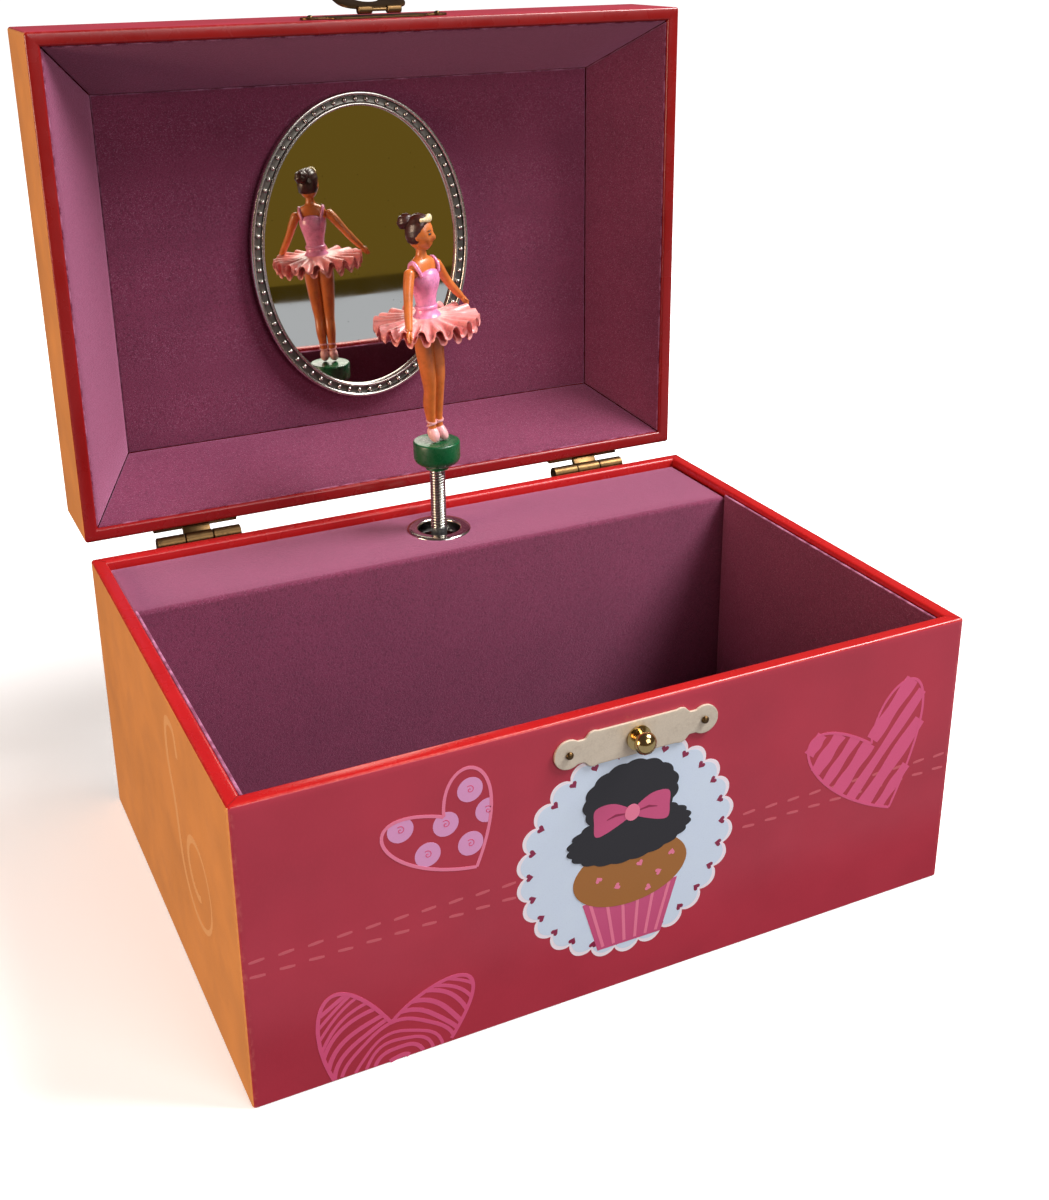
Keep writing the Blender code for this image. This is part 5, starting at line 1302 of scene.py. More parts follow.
def metals():
    """The metal finishes of the fittings, made once."""
    if not METALS:
        s = chosen("fittings")
        METALS["chrome"] = metal("bright chrome", s.frame_colour, 0.08, tarnish_share=0.15)
        METALS["plate"] = metal("pale nickel", s.plate_colour, 0.34, (0.4, 0.3, 0.2), 0.4, bare=0.35)
        METALS["knob"] = metal("polished brass", s.knob_colour, 0.07, tarnish_share=0.2)
        METALS["aged"] = metal("aged brass", s.aged_colour, 0.3, (0.03, 0.02, 0.01), 0.75)
        METALS["spring"] = metal("spring wire", s.spring_colour, 0.14, tarnish_share=0.3)
    return METALS


def eyelet():
    """The plated eyelet in the ledge: a rolled flange that turns down into the hole."""
    low, high = span("spindle_eyelet")
    outer = (high[0] - low[0]) / 2
    bore = 5.85 * MM
    lip = 0.55 * MM
    top = LEDGE_TOP + 0.25 * MM
    roll = np.linspace(0, math.pi / 2, 6)
    profile = [(outer, LEDGE_TOP + 0.01 * MM), (outer - 0.1 * MM, LEDGE_TOP + 0.3 * MM)]
    profile += [(outer - 0.5 * MM, LEDGE_TOP + 0.5 * MM), (outer - 1.4 * MM, LEDGE_TOP + 0.52 * MM)]
    profile += [(bore + lip + 0.6 * MM, top + 0.2 * MM)]
    profile += [(bore + lip * (1 - math.sin(a)), top + 0.25 * MM - lip * (1 - math.cos(a))) for a in roll]
    profile += [(bore, low[2]), (bore + 0.3 * MM, low[2])]
    profile += [(bore + 0.3 * MM, LEDGE_TOP - 0.1 * MM), (bore + 0.8 * MM, LEDGE_TOP + 0.01 * MM)]
    shell = skin(lathe(profile, SPINDLE, 72), round_rows=True, round_columns=True)
    add_piece("eyelet_rolled", "box", [shell], [metals()["chrome"]], ["spindle_eyelet"], 50)


def spring():
    """The dancer's stem: a round wire carried along a helix, that bends as the lid shuts."""
    settings = chosen("fittings")
    low, high = span("dancer_spring")
    wire = settings.wire_radius
    radius = (high[0] - low[0]) / 2 - wire
    start, end = low[2] - 3.4 * MM, high[2] + 0.2 * MM
    turns = (end - start) / (2 * wire + 0.04 * MM)
    angle = np.linspace(0, 2 * math.pi * turns, int(turns * 22))
    outward = np.stack([np.cos(angle), np.sin(angle), np.zeros(len(angle))], -1)
    centre = SPINDLE + outward * radius + UP * (start + (end - start) * angle / angle[-1])[:, None]
    c, s = circle(8)
    grid = centre[:, None] + wire * (c[None, :, None] * outward[:, None] + s[None, :, None] * UP)
    ends = [np.broadcast_to(centre[k], grid.shape[1:])[None] for k in (0, -1)]
    shell = skin(np.concatenate([ends[0], grid, ends[1]]), round_columns=True)
    finish = metals()["spring"]
    piece = add_piece("spring_coil", "dancer_stem", [shell], [finish], ["dancer_spring"], 60)
    piece.parent = None
    piece.matrix_world = Matrix.Identity(4)
    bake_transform(piece)


def lobed_half_height(x, end, body, lobe):
    """Half height along a catch plate: a straight body, a stepped shoulder and a round lobe at each end."""
    reach = np.abs(x)
    centre = end - lobe
    round_end = np.sqrt(np.clip(lobe**2 - (reach - centre) ** 2, 0, None))
    shoulder = centre - 3.0 * MM
    neck = lobe * 0.8
    fall = np.clip((reach - shoulder + 2.2 * MM) / (1.6 * MM), 0, 1)
    trunk = body + (neck - body) * (3 * fall**2 - 2 * fall**3)
    ripple = 0.25 * MM * np.exp(-(((reach - shoulder + 3.1 * MM) / (0.7 * MM)) ** 2))
    tip = np.where(reach < centre, np.maximum(round_end, neck), round_end)
    return np.where(reach < centre - lobe * 0.55, trunk + ripple, tip)


def lobed_plate(node, lobe=3.5 * MM, shut_lid=False):
    """Grid of a thin lobed plate that lies against the front of the box or lid, facing forward."""
    low, high = shut_span(node) if shut_lid else span(node)
    end, body = (high[0] - low[0]) / 2, (high[2] - low[2]) / 2
    share = np.linspace(-1, 1, 161)
    x = end * np.sin(share * math.pi / 2)
    thickness = 0.6 * MM
    grid = stretched_plate(x, lobed_half_height(x, end, body, lobe), thickness, 0.12 * MM)
    face = -HALF_D - 0.02 * MM
    middle = (low[2] + high[2]) / 2
    return np.stack([grid[..., 0], face - grid[..., 2], middle + grid[..., 1]], -1)


def catch():
    """Catch on the front: a lobed plate, two domed nails and a polished knob on a collar."""
    finishes = metals()
    plate = skin(lobed_plate("catch_plate"), round_columns=True)
    add_piece("catch_lobed_plate", "box", [plate], [finishes["plate"]], ["catch_plate"], 40)
    low, high = span("catch_knob")
    centre = np.array([0.0, span("catch_plate")[0][1], (low[2] + high[2]) / 2])
    radius, tall = (high[0] - low[0]) / 2 * 0.88, centre[1] - low[1]
    dome = np.linspace(0, math.pi / 2, 8)
    collar_and_neck = ((0, -1.5), (1.12, -0.1), (1.12, 0.25), (0.8, 0.5))
    collar_and_neck += ((0.55, 0.8), (0.5, 1.3), (0.82, 1.9), (0.97, 2.3))
    profile = [(radius * share, height * MM) for share, height in collar_and_neck]
    profile += [(radius * math.cos(a), 2.6 * MM + (tall - 2.6 * MM) * math.sin(a)) for a in dome]
    knob = skin(lathe(profile, centre, 40, "front"), round_columns=True)
    add_piece("catch_domed_knob", "box", [knob], [finishes["knob"]], ["catch_knob"], 50)
    for side in ("left", "right"):
        low, high = span("catch_nail_" + side)
        centre = np.array([(low[0] + high[0]) / 2, span("catch_plate")[0][1], (low[2] + high[2]) / 2])
        nail = nail_head(centre, "front")
        add_piece("catch_nail_head_" + side, "box", [nail], [finishes["aged"]], ["catch_nail_" + side])


def nail_head(centre, facing, radius=0.9 * MM):
    """A small domed nail head with a thin edge."""
    steps = ((0, -0.4), (1, -0.05), (1, 0.1), (0.85, 0.35), (0.5, 0.55), (0, 0.62))
    profile = [(radius * share, height * MM) for share, height in steps]
    return skin(lathe(profile, centre, 20, facing), round_columns=True)


def latch():
    """Latch on the lid: a lobed plate with nails, and a hasp pressed out round its hole, folded back."""
    finish = metals()["aged"]
    plate = skin(opened(lobed_plate("latch_plate", 2.6 * MM, True)), round_columns=True)
    low, high = shut_span("latch_plate")
    nails = []
    for side in (-1, 1):
        centre = np.array([side * (high[0] - 2.6 * MM), -HALF_D - 0.6 * MM, (low[2] + high[2]) / 2])
        nails.append(swung_open(nail_head(centre, "front", 0.8 * MM)))
    add_piece("latch_lobed_plate", "lid", [plate] + nails, [finish], ["latch_plate"], 40)
    hasp(finish)


def hasp(finish):
    """The hasp: a shield with a hole for the knob, domed round the hole, and a rolled knuckle on its pin."""
    pin = shut(np.array(joint("latch_swing")["pos_m"]))
    wide, long, sheet, hole = 9.5 * MM, 16.0 * MM, 0.8 * MM, 3.6 * MM
    hole_at = -10.6 * MM
    c, s = circle(96)
    squarish = 0.62
    outline = np.stack([wide * np.sign(c) * np.abs(c) ** squarish, np.sign(s) * np.abs(s) ** squarish], -1)
    top, foot = -1.0 * MM, -long
    outline[:, 1] = (top + foot) / 2 + outline[:, 1] * (top - foot) / 2
    bore = np.stack([hole * c, hole_at + hole * s], -1)
    rows = [(0.0, 0.15), (0.03, 0.0), (0.3, 0.0), (0.6, 0.0), (0.94, 0.0), (1.0, 0.2)]
    rows += [(1.0, 0.8), (0.94, 1.0), (0.6, 1.0), (0.3, 1.0), (0.03, 1.0), (0.0, 0.85)]
    grid = around_hole(bore, outline, [(share, height * sheet) for share, height in rows])
    share = np.array([row[0] for row in rows])[:, None]
    dome = 0.5 * MM * np.exp(-((share / 0.45) ** 2)) * np.ones(len(c))
    depth = grid[..., 2] - sheet / 2 + dome
    hung = np.stack([grid[..., 0], pin[1] - depth, pin[2] + grid[..., 1]], -1)
    skins = [skin(folded_back(hung), round_rows=True, round_columns=True)]
    for low, high in ((-6.0, -2.1), (2.1, 6.0)):
        profile = [(0.0, low), (0.9, low), (1.05, low + 0.15), (1.05, high - 0.15), (0.9, high), (0.0, high)]
        barrel = lathe(np.array(profile) * MM, np.zeros(3), 20)
        barrel = np.stack([barrel[..., 2], barrel[..., 0], barrel[..., 1]], -1) + pin
        skins.append(skin(folded_back(barrel), round_columns=True))
    add_piece("latch_domed_hasp", "latch", skins, [finish], ["latch_hasp"], 40)


def swung_open(surface):
    """A surface of the lid, from shut to open."""
    points, faces, paint, wear_and_highlight = surface
    return opened(points), faces, paint, wear_and_highlight


def hinge_nails():
    """Three domed nails in each leaf of the hinges, on the back of the box and of the lid."""
    face = HALF_D + 1.12 * MM
    for side in ("left", "right"):
        low, high = span("hinge_lower_leaf_" + side)
        top = shut_span("hinge_upper_leaf_" + side)[1][2]
        middle, reach = (low[0] + high[0]) / 2, (high[0] - low[0]) / 2 - 4 * MM
        lower, upper = [], []
        for k, from_edge in ((-1, 5.8 * MM), (0, 2.2 * MM), (1, 5.8 * MM)):
            x = middle + k * reach
            lower.append(nail_head(np.array([x, face, low[2] + from_edge]), "back"))
            upper.append(swung_open(nail_head(np.array([x, face, top - from_edge]), "back")))
        add_piece("hinge_nails_lower_" + side, "box", lower, [metals()["aged"]])
        add_piece("hinge_nails_upper_" + side, "lid", upper, [metals()["aged"]])


def softened(node, name, width, body, finish):
    """A copy of a CAD node with its points merged, its flat triangles joined and its edges rounded."""
    source = frame["nodes"][node]
    mesh = source.data.copy()
    mesh.name = name
    work = bmesh.new()
    work.from_mesh(mesh)
    bmesh.ops.remove_doubles(work, verts=work.verts, dist=1e-6)
    bmesh.ops.dissolve_limit(
        work, angle_limit=math.radians(1), verts=work.verts, edges=work.edges, delimit={"NORMAL"}
    )
    work.to_mesh(mesh)
    work.free()
    mesh.materials.clear()
    mesh.materials.append(finish)
    piece = bpy.data.objects.new(name, mesh)
    bpy.context.scene.collection.objects.link(piece)
    bevel = piece.modifiers.new("round edges", "BEVEL")
    bevel.width, bevel.segments, bevel.limit_method = width, 2, "ANGLE"
    bevel.angle_limit = math.radians(40)
    bevel.use_clamp_overlap = True
    mesh.shade_smooth()
    mesh.set_sharp_from_angle(angle=math.radians(40))
    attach(piece, body)
    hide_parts(node)
    return piece


def hinges():
    """Both hinges: leaves and knuckles with rounded edges, and their pins."""
    finish = metals()["aged"]
    for side in ("left", "right"):
        for level, body in (("lower", "box"), ("upper", "lid")):
            node, name = f"hinge_{level}_leaf_{side}", f"hinge_leaf_{level}_{side}"
            softened(node, name, 0.15 * MM, body, finish)
        frame["nodes"]["hinge_pin_" + side].material_slots[0].material = finish
    frame["nodes"]["latch_pin"].material_slots[0].material = finish
    hinge_nails()


def key_and_screws():
    """The winding key at the back with its collar, and the two screws that hold the movement."""
    nickel = metals()["plate"]
    softened("winding_key", "key_rounded", 0.3 * MM, "key", nickel)
    for side in ("left", "right"):
        softened("movement_screw_" + side, "back_screw_" + side, 0.15 * MM, "box", nickel)
    place = np.array(joint("key_wind")["pos_m"])
    centre = np.array([place[0], HALF_D, place[2]])
    profile = [(2.2, -0.6), (4.4, -0.6), (4.4, 0.05), (4.2, 0.35), (3.6, 0.5), (2.6, 0.45), (2.2, 0.1)]
    collar = skin(lathe(np.array(profile) * MM, centre, 40, "back"), round_rows=True, round_columns=True)
    add_piece("key_collar", "box", [collar], [metals()["chrome"]], crease=50)


def movement():
    """The musical movement keeps its CAD shapes, and gets brass and steel."""
    settings = chosen("movement")
    steel = metal("movement steel", settings.steel_colour, 0.3, brushed=(1, 1, 0.1), grain=0.4 * MM)
    brass = metal("movement brass", settings.brass_colour, 0.25, brushed=(0.2, 1, 1), grain=0.4 * MM)
    brass_nodes = {"cylinder", "cylinder_pinion", "cylinder_wheel", "great_wheel"}
    brass_nodes |= {"governor_wheel", "governor_fan", "spring_housing"}
    steel_nodes = {"movement_bedplate", "comb", "comb_screw_lower", "comb_screw_upper", "mainspring"}
    steel_nodes |= {"winding_arbor", "spindle", "governor_bracket", "stop_wire"}
    for names, finish in ((brass_nodes, brass), (steel_nodes, steel)):
        for name in sorted(names):
            for slot in frame["nodes"][name].material_slots:
                slot.material = finish


# ---------------------------------------------------------------- dancer


def placed(points):
    """From the dancer's own axes (forward, left, up from the disc) to the box's."""
    settings = chosen("dancer")
    turned = turn(points, np.zeros(3), UP, settings.heading)
    return turn(turned, np.zeros(3), (0.15, -1.0, 0), settings.lean) + SPINDLE + UP * STAND


def dancer_skin(points, paint):
    """A closed surface of the dancer, in mm from the disc, with the number of its paint."""
    return skin(placed(points * MM), round_columns=True, paint=paint)


def disc():
    """The green disc: flat on top with a soft edge, then a bowl down to the socket that takes the spring."""
    low, high = span("dancer_base")
    radius, tall = (high[0] - low[0]) / 2, high[2] - low[2]
    soft = 0.5 * MM
    edge = [(radius - inset, -drop) for inset, drop in quarter(soft)]
    side, depth, bore = 4.4 * MM, 4.9 * MM, 2.35 * MM
    slope = np.linspace(0, 1.15, 9)
    bowl = [(radius * math.cos(a) ** 0.8, -side - (tall - depth) * math.sin(a)) for a in slope]
    socket = [(2.7 * MM, -tall), (bore, -tall + 0.2 * MM), (bore, -tall + depth), (0, -tall + depth)]
    profile = [(0, 0), (radius * 0.5, 0)] + edge + bowl + [(3.2 * MM, -tall)] + socket
    shell = skin(lathe(profile, SPINDLE + UP * STAND, 64), round_columns=True)
    finish = moulded_plastic("green plastic", chosen("dancer").disc_colour, 0.22)
    add_piece("disc_moulded", "dancer", [shell], [finish], ["dancer_base"], 50)


def bumpy_head(half, bumps, columns=40, rows=30):
    """An ellipsoid with bumps: each bump adds its height times a bell of the angle from its own direction.

    A bump is its angle down from the crown, its angle round from the face, its height and its spread.
    """
    down = np.linspace(0, math.pi, rows)[:, None]
    c, s = circle(columns)
    ray = np.stack([np.sin(down) * c, np.sin(down) * s, np.cos(down) * np.ones(columns)], -1)
    points = ray * half
    for fall, side, height, spread in bumps:
        angle = np.arccos(np.clip(ray @ head_ray(fall, side), -1, 1))
        points = points + ray * (height * np.exp(-((angle / math.radians(spread)) ** 2)))[..., None]
    return points, ray


HEAD = np.array([0.1, 0.0, 57.3])
HEAD_HALF = np.array([3.5, 3.0, 4.5])
NOSE_AND_CHIN = ((101, 0, 0.75, 9), (109, 0, 0.35, 8), (126, 0, 0.28, 9), (148, 0, 0.45, 20))
CHEEKS = ((106, 38, 0.22, 18), (106, -38, 0.22, 18))
EYE_SOCKETS = ((90, 24, -0.28, 12), (90, -24, -0.28, 12))
BROW_AND_EARS = ((76, 0, 0.12, 22), (100, 88, 0.5, 9), (100, -88, 0.5, 9))
FACE_BUMPS = NOSE_AND_CHIN + CHEEKS + EYE_SOCKETS + BROW_AND_EARS


def head_turned(points):
    """Turns the head's own shapes about the neck."""
    return turn(points, np.zeros(3), UP, chosen("dancer").head_turn)


def figure():
    """The dancer: legs, torso, head and arms in painted skin, with hair, face, bodice, shoes and tiara."""
    s = chosen("dancer")
    finishes = [
        hand_paint("painted skin", s.skin_colour, toned(s.skin_colour, 0.78), 0.26, 3 * MM),
        hand_paint("painted hair", s.hair_colour, toned(s.hair_colour, 0.5), 0.34),
        hand_paint("painted bodice", s.bodice_colour, toned(s.bodice_colour, 0.7), 0.22),
        hand_paint("painted shoes", s.shoe_colour, toned(s.shoe_colour, 0.75)),
        hand_paint("painted tiara", s.tiara_colour, toned(s.tiara_colour, 0.7), 0.2),
        hand_paint("painted eyes", srgb(20, 12, 10), srgb(10, 6, 6), 0.15),
        hand_paint("painted lips", srgb(150, 40, 40), srgb(110, 25, 28), 0.25),
    ]
    skins = legs() + torso() + arms() + head()
    add_piece("dancer_body", "dancer", skins, finishes, ["dancer_figure"], 60)


def legs():
    """Two legs drawn together, and slippers on their points."""
    skins = []
    for side in (-1, 1):
        leg = [
            (0.2, side * 2.3, 33.0, 2.6, 2.6),
            (0.3, side * 2.1, 26.0, 2.35, 2.4),
            (0.7, side * 1.8, 19.0, 1.95, 2.1),
            (0.6, side * 1.6, 14.8, 1.65, 1.7),
            (-0.1, side * 1.55, 10.5, 1.6, 1.75),
            (0.0, side * 1.35, 5.6, 1.15, 1.15),
            (0.3, side * 1.3, 2.6, 1.1, 1.1),
        ]
        skins.append(dancer_skin(limb(leg, up=(1, 0, 0)), 0))
        toe = 0.9 if side > 0 else 0.2
        shoe = [
            (-0.6, side * 1.35, 4.4, 1.25, 1.2),
            (0.1, side * 1.4, 3.0, 1.45, 1.6),
            (0.9 + toe * 0.4, side * 1.5, 1.6, 1.35, 1.5),
            (1.6 + toe, side * 1.7, 0.35, 0.85, 0.75),
        ]
        skins.append(dancer_skin(limb(shoe, up=(1, 0, 0), count=28), 3))
        c, s = circle(24)
        for height, slant in ((5.0, 0.45), (6.0, -0.45)):
            band = np.stack([1.28 * c, side * 1.36 + 1.28 * s, height + slant * c], -1)
            skins.append(cord(band, 0.18, 1.5, 6, 3))
    return skins


def cord(path, thick, tall, sides, paint):
    """A closed cord round the dancer: ovals of a thickness, taller by a factor, carried along the path."""
    c, s = circle(sides)
    ring_c, ring_s = circle(len(path))
    out = np.stack([ring_c, ring_s, np.zeros(len(path))], -1)
    grid = path[:, None] + thick * (c[None, :, None] * out[:, None] + tall * s[None, :, None] * UP)
    return skin(placed(grid * MM), round_rows=True, round_columns=True, paint=paint)


def torso():
    """Shoulders and neck in skin, and the bodice over them with its peplum and gathered straps."""
    body = [
        (0.0, 0.0, 30.0, 3.0, 3.2),
        (0.1, 0.0, 36.0, 2.5, 2.2),
        (0.5, 0.0, 43.2, 3.4, 2.6),
        (0.2, 0.0, 48.2, 4.7, 2.2),
        (-0.1, 0.0, 50.3, 3.4, 1.7),
        (0.0, 0.0, 51.5, 1.55, 1.4),
        (0.1, 0.0, 54.4, 1.3, 1.3),
        (0.2, 0.0, 56.6, 1.3, 1.3),
    ]
    skins = [dancer_skin(limb(body, up=(1, 0, 0), sides=28, count=60), 0)]
    height = np.array([33.6, 34.5, 35.4, 36.4, 37.8, 39.4, 41.2, 43.2, 44.9, 46.4, 47.3, 47.5])
    wide = np.array([5.2, 4.6, 3.8, 3.1, 2.8, 2.85, 3.2, 3.75, 4.15, 4.2, 4.0, 3.6])
    deep = np.array([4.9, 4.4, 3.6, 2.85, 2.5, 2.55, 2.9, 3.5, 3.9, 3.7, 3.0, 2.4])
    c, s = circle(44)
    angle = np.arange(44) / 44 * 2 * math.pi
    chest = np.exp(-(((height - 44.2) / 2.2) ** 2))[:, None]
    bust = 1 + 0.10 * chest * np.exp(-(((np.abs(s) - 0.45) / 0.3) ** 2)) * (c > 0)
    pleat = 1 + 0.035 * np.clip((36.8 - height) / 3, 0, 1)[:, None] * np.sin(angle * 14)
    x = 0.25 + deep[:, None] * c * bust * pleat
    y = wide[:, None] * s * pleat
    dip = 0.55 * np.cos(2 * angle)[None] * np.clip((height - 45.2) / 2, 0, 1)[:, None]
    outside = np.stack([x, y, height[:, None] + dip], -1)
    lower = np.array([0.2, 0, 34.0]) * np.ones((44, 3))
    upper = np.array([0.2, 0, 45.8]) * np.ones((44, 3))
    skins.append(dancer_skin(np.concatenate([lower[None], outside, upper[None]]), 2))
    for side in (-1, 1):
        strap = [
            (2.6, side * 3.1, 46.4, 0.6, 0.45),
            (2.1, side * 3.6, 48.4, 0.65, 0.5),
            (0.4, side * 3.7, 50.1, 0.65, 0.5),
            (-1.2, side * 3.5, 48.9, 0.65, 0.5),
            (-2.0, side * 2.8, 46.4, 0.6, 0.45),
        ]
        skins.append(dancer_skin(limb(strap, up=(0.2, 1, 0.1), sides=14, count=36), 2))
    c, s = circle(40)
    belt = np.stack([0.25 + 2.62 * c, 2.9 * s, np.full(40, 37.8)], -1)
    skins.append(cord(belt, 0.34, 1.6, 8, 2))
    return skins


RIGHT_ARM = ((0.0, -4.6, 48.8), (0.9, -6.5, 45.0), (2.0, -8.2, 41.4), (3.6, -10.2, 37.8), (5.4, -12.2, 34.4))
LEFT_ARM = ((0.0, 4.6, 48.8), (-0.6, 7.2, 45.8), (-0.9, 9.6, 42.6), (-0.6, 12.2, 39.2), (-0.2, 14.6, 36.4))


def arms():
    """Both arms, slightly bent, with their hands at the skirt's edge."""
    skins = []
    for knots in (RIGHT_ARM, LEFT_ARM):
        widths = (1.5, 1.4, 1.2, 1.1, 0.85)
        arm = [(*place, width, width) for place, width in zip(knots, widths)]
        skins.append(dancer_skin(limb(arm, up=(1, 0.2, 0.3), sides=16, count=44), 0))
        wrist, last = np.array(knots[-1]), np.array(knots[-2])
        aim = (wrist - last) / np.linalg.norm(wrist - last)
        ovals = ((-0.6, 0.7, 0.6), (0.5, 1.0, 0.55), (1.6, 0.95, 0.45), (2.9, 0.5, 0.3))
        palm = [(*(wrist + aim * along), wide, high) for along, wide, high in ovals]
        skins.append(dancer_skin(limb(palm, up=(1, 0.2, 0.3), sides=14, count=24), 0))
        thumb = np.array([0.7, 0.0, 0.1])
        ovals = ((0.3, 0.6, 0.32, 0.3), (1.2, 1.2, 0.3, 0.28), (1.9, 1.4, 0.22, 0.2))
        finger = [(*(wrist + aim * along + thumb * out), wide, high) for along, out, wide, high in ovals]
        skins.append(dancer_skin(limb(finger, up=(0, 1, 0.3), sides=10, count=16), 0))
    return skins


def head():
    """Head with a small nose, chin and cheeks, painted eyes and lips, swept up hair, a bun and a tiara."""
    face, ray = bumpy_head(HEAD_HALF, FACE_BUMPS)
    skins = [dancer_skin(head_turned(face + HEAD), 0)]
    back = np.clip((-ray[..., 0] + 0.42 + 0.9 * np.clip(ray[..., 2], 0, 1)) / 0.5, 0, 1)
    low_neck = np.clip((ray[..., 2] + 0.75) / 0.35, 0, 1)
    cover = back * low_neck
    strand = 0.09 * np.sin(np.arctan2(ray[..., 1], ray[..., 2] + 0.3) * 22)
    scale = 0.86 + 0.26 * (3 * cover**2 - 2 * cover**3)
    hair = ray * HEAD_HALF * scale[..., None] + ray * (strand * cover)[..., None]
    skins.append(dancer_skin(head_turned(hair + HEAD), 1))
    bun, bun_ray = bumpy_head(np.array([2.3, 2.1, 2.0]), (), 32, 18)
    coil = 0.1 * np.sin(np.arctan2(bun_ray[..., 1], bun_ray[..., 0]) * 3 + bun_ray[..., 2] * 9)
    bun = turn(bun + bun_ray * coil[..., None], np.zeros(3), (0, 1, 0), -0.6)
    skins.append(dancer_skin(head_turned(bun + HEAD + np.array([-3.7, 0, 2.9])), 1))
    for side in (-1, 1):
        skins += painted_spot(90.5, side * 25, 0.52, 0.3, 5)
        skins += painted_spot(79, side * 26, 0.62, 0.13, 1)
    skins += painted_spot(125, 0, 0.62, 0.2, 6)
    skins += tiara()
    return skins


def head_ray(fall, side):
    """Direction from the head's middle, at an angle down from the crown and round from the nose."""
    fall, side = math.radians(fall), math.radians(side)
    return np.array([math.sin(fall) * math.cos(side), math.sin(fall) * math.sin(side), math.cos(fall)])


def painted_spot(fall, side, wide, high, paint):
    """A small oval of paint that lies on the face."""
    ray = head_ray(fall, side)
    centre = HEAD + ray * HEAD_HALF * 0.985
    across = np.cross(UP, ray)
    across /= np.linalg.norm(across)
    upward = np.cross(ray, across)
    unit = ball(np.zeros(3), np.ones(3), 14, 8)
    half_sizes = unit * (wide, high, 0.26)
    grid = centre + half_sizes[..., :1] * across + half_sizes[..., 1:2] * upward + half_sizes[..., 2:] * ray
    return [dancer_skin(head_turned(grid), paint)]


def tiara():
    """A beaded band across the front of the hair with a pearl in the middle."""
    skins = []
    for side in np.linspace(-62, 62, 15):
        size = 0.5 + 0.5 * math.cos(math.radians(side) * 1.45) ** 4
        centre = HEAD + head_ray(46, side) * HEAD_HALF * 1.1 + np.array([0, 0, size * 0.4])
        pearl = ball(centre, size * np.array([0.8, 0.8, 1.15]), 10, 8)
        skins.append(dancer_skin(head_turned(pearl), 4))
    return skins


def skirt():
    """The stiff ruffled skirt: two layers, each a ring that droops and folds more the further out it goes."""
    s = chosen("dancer")
    finish = hand_paint("skirt plastic", s.skirt_colour, toned(s.skirt_colour, 0.72), 0.3, 2.2 * MM)
    skins = []
    for height, reach, phase, droop in ((35.4, 1.0, 0.0, 1.7), (34.5, 0.95, 0.5, 2.3)):
        angle = round_angles(s.folds * 16)
        share = np.concatenate([np.linspace(0, 1, 20), np.linspace(1, 0, 20)])[:, None]
        under = np.concatenate([np.zeros(20), np.full(20, 0.5)])[:, None]
        under[19], under[20] = 0.08, 0.42
        wave = angle * s.folds + phase * math.pi
        uneven = 1 + 0.15 * np.sin(angle * 5 + 0.7 + phase) + 0.1 * np.sin(angle * 3 + 2.0)
        swung = angle - 0.3 / s.folds * share**2 * np.sin(2 * wave)
        spread = 1 + 0.02 * share * np.cos(2 * wave + 0.5)
        radius = 3.0 + (s.skirt_radius / MM * reach - 3.0) * share * spread
        fold = 1.55 * share**2.4 * np.sin(wave) * uneven
        z = height - droop * share**1.8 + fold - under
        grid = np.stack([radius * np.cos(swung), radius * np.sin(swung), z * np.ones_like(radius)], -1)
        skins.append(skin(placed(grid * MM), round_rows=True, round_columns=True))
    add_piece("skirt_ruffled", "dancer", skins, [finish], ["dancer_skirt"], 70)


# ---------------------------------------------------------------- stage


def floor_and_room():
    """A wide pale floor, a white dome behind it, and flat cards that only reflections see as the room."""
    settings = chosen("stage")
    made = Finish("pale floor", Roughness=0.9, Specular_IOR_Level=0.1, Emission_Color=(1.0, 1.0, 1.0, 1.0))
    made.shader.inputs["Base Color"].default_value = toned(settings.floor_colour, 1.0)
    reach = made.node("ShaderNodeVectorMath", Vector=made.place)
    reach.operation = "LENGTH"
    made.feed("Emission Strength", made.between(reach.outputs["Value"], 0.5, 1.0, 0.15, 0.45))
    floor = stage_sheet("floor", (-6.0, -6.0), (6.0, 6.0), -0.05 * MM, made.material)
    floor.visible_diffuse = floor.visible_glossy = False
    far, edge, front = -3.0, -0.45, -0.085
    wall, shadow = toned(settings.room_colour, 1.0), toned(settings.room_colour, 0.35)
    pale = toned(settings.near_colour, 1.0)
    room = stage_sheet("room_card", (-3.0, far), (3.0, edge), 1.0 * MM, glow("room", wall))
    shade = stage_sheet("room_edge", (-3.0, edge - 0.05), (3.0, edge), 1.5 * MM, glow("room edge", shadow))
    near = stage_sheet("room_floor", (-3.0, edge), (3.0, front), 0.5 * MM, glow("room floor", pale))
    for card in (room, shade, near):
        card.visible_camera = card.visible_diffuse = card.visible_shadow = False
        card.visible_transmission = card.visible_volume_scatter = False
    white = glow("pale backdrop", (1.0, 1.0, 1.0, 1.0))
    sky = stage_sheet("backdrop", (-1, -1), (1, 1), 0.0, white, dome=7.0)
    sky.visible_glossy = sky.visible_diffuse = sky.visible_shadow = False
    sky.visible_transmission = sky.visible_volume_scatter = False


def glow(name, colour):
    """A plain material that gives its own light."""
    material = bpy.data.materials.new(name)
    material.use_nodes = True
    tree = material.node_tree
    tree.nodes.remove(tree.nodes["Principled BSDF"])
    light = tree.nodes.new("ShaderNodeEmission")
    light.inputs["Color"].default_value = colour
    light.inputs["Strength"].default_value = 1.0
    tree.links.new(light.outputs["Emission"], tree.nodes["Material Output"].inputs["Surface"])
    return material


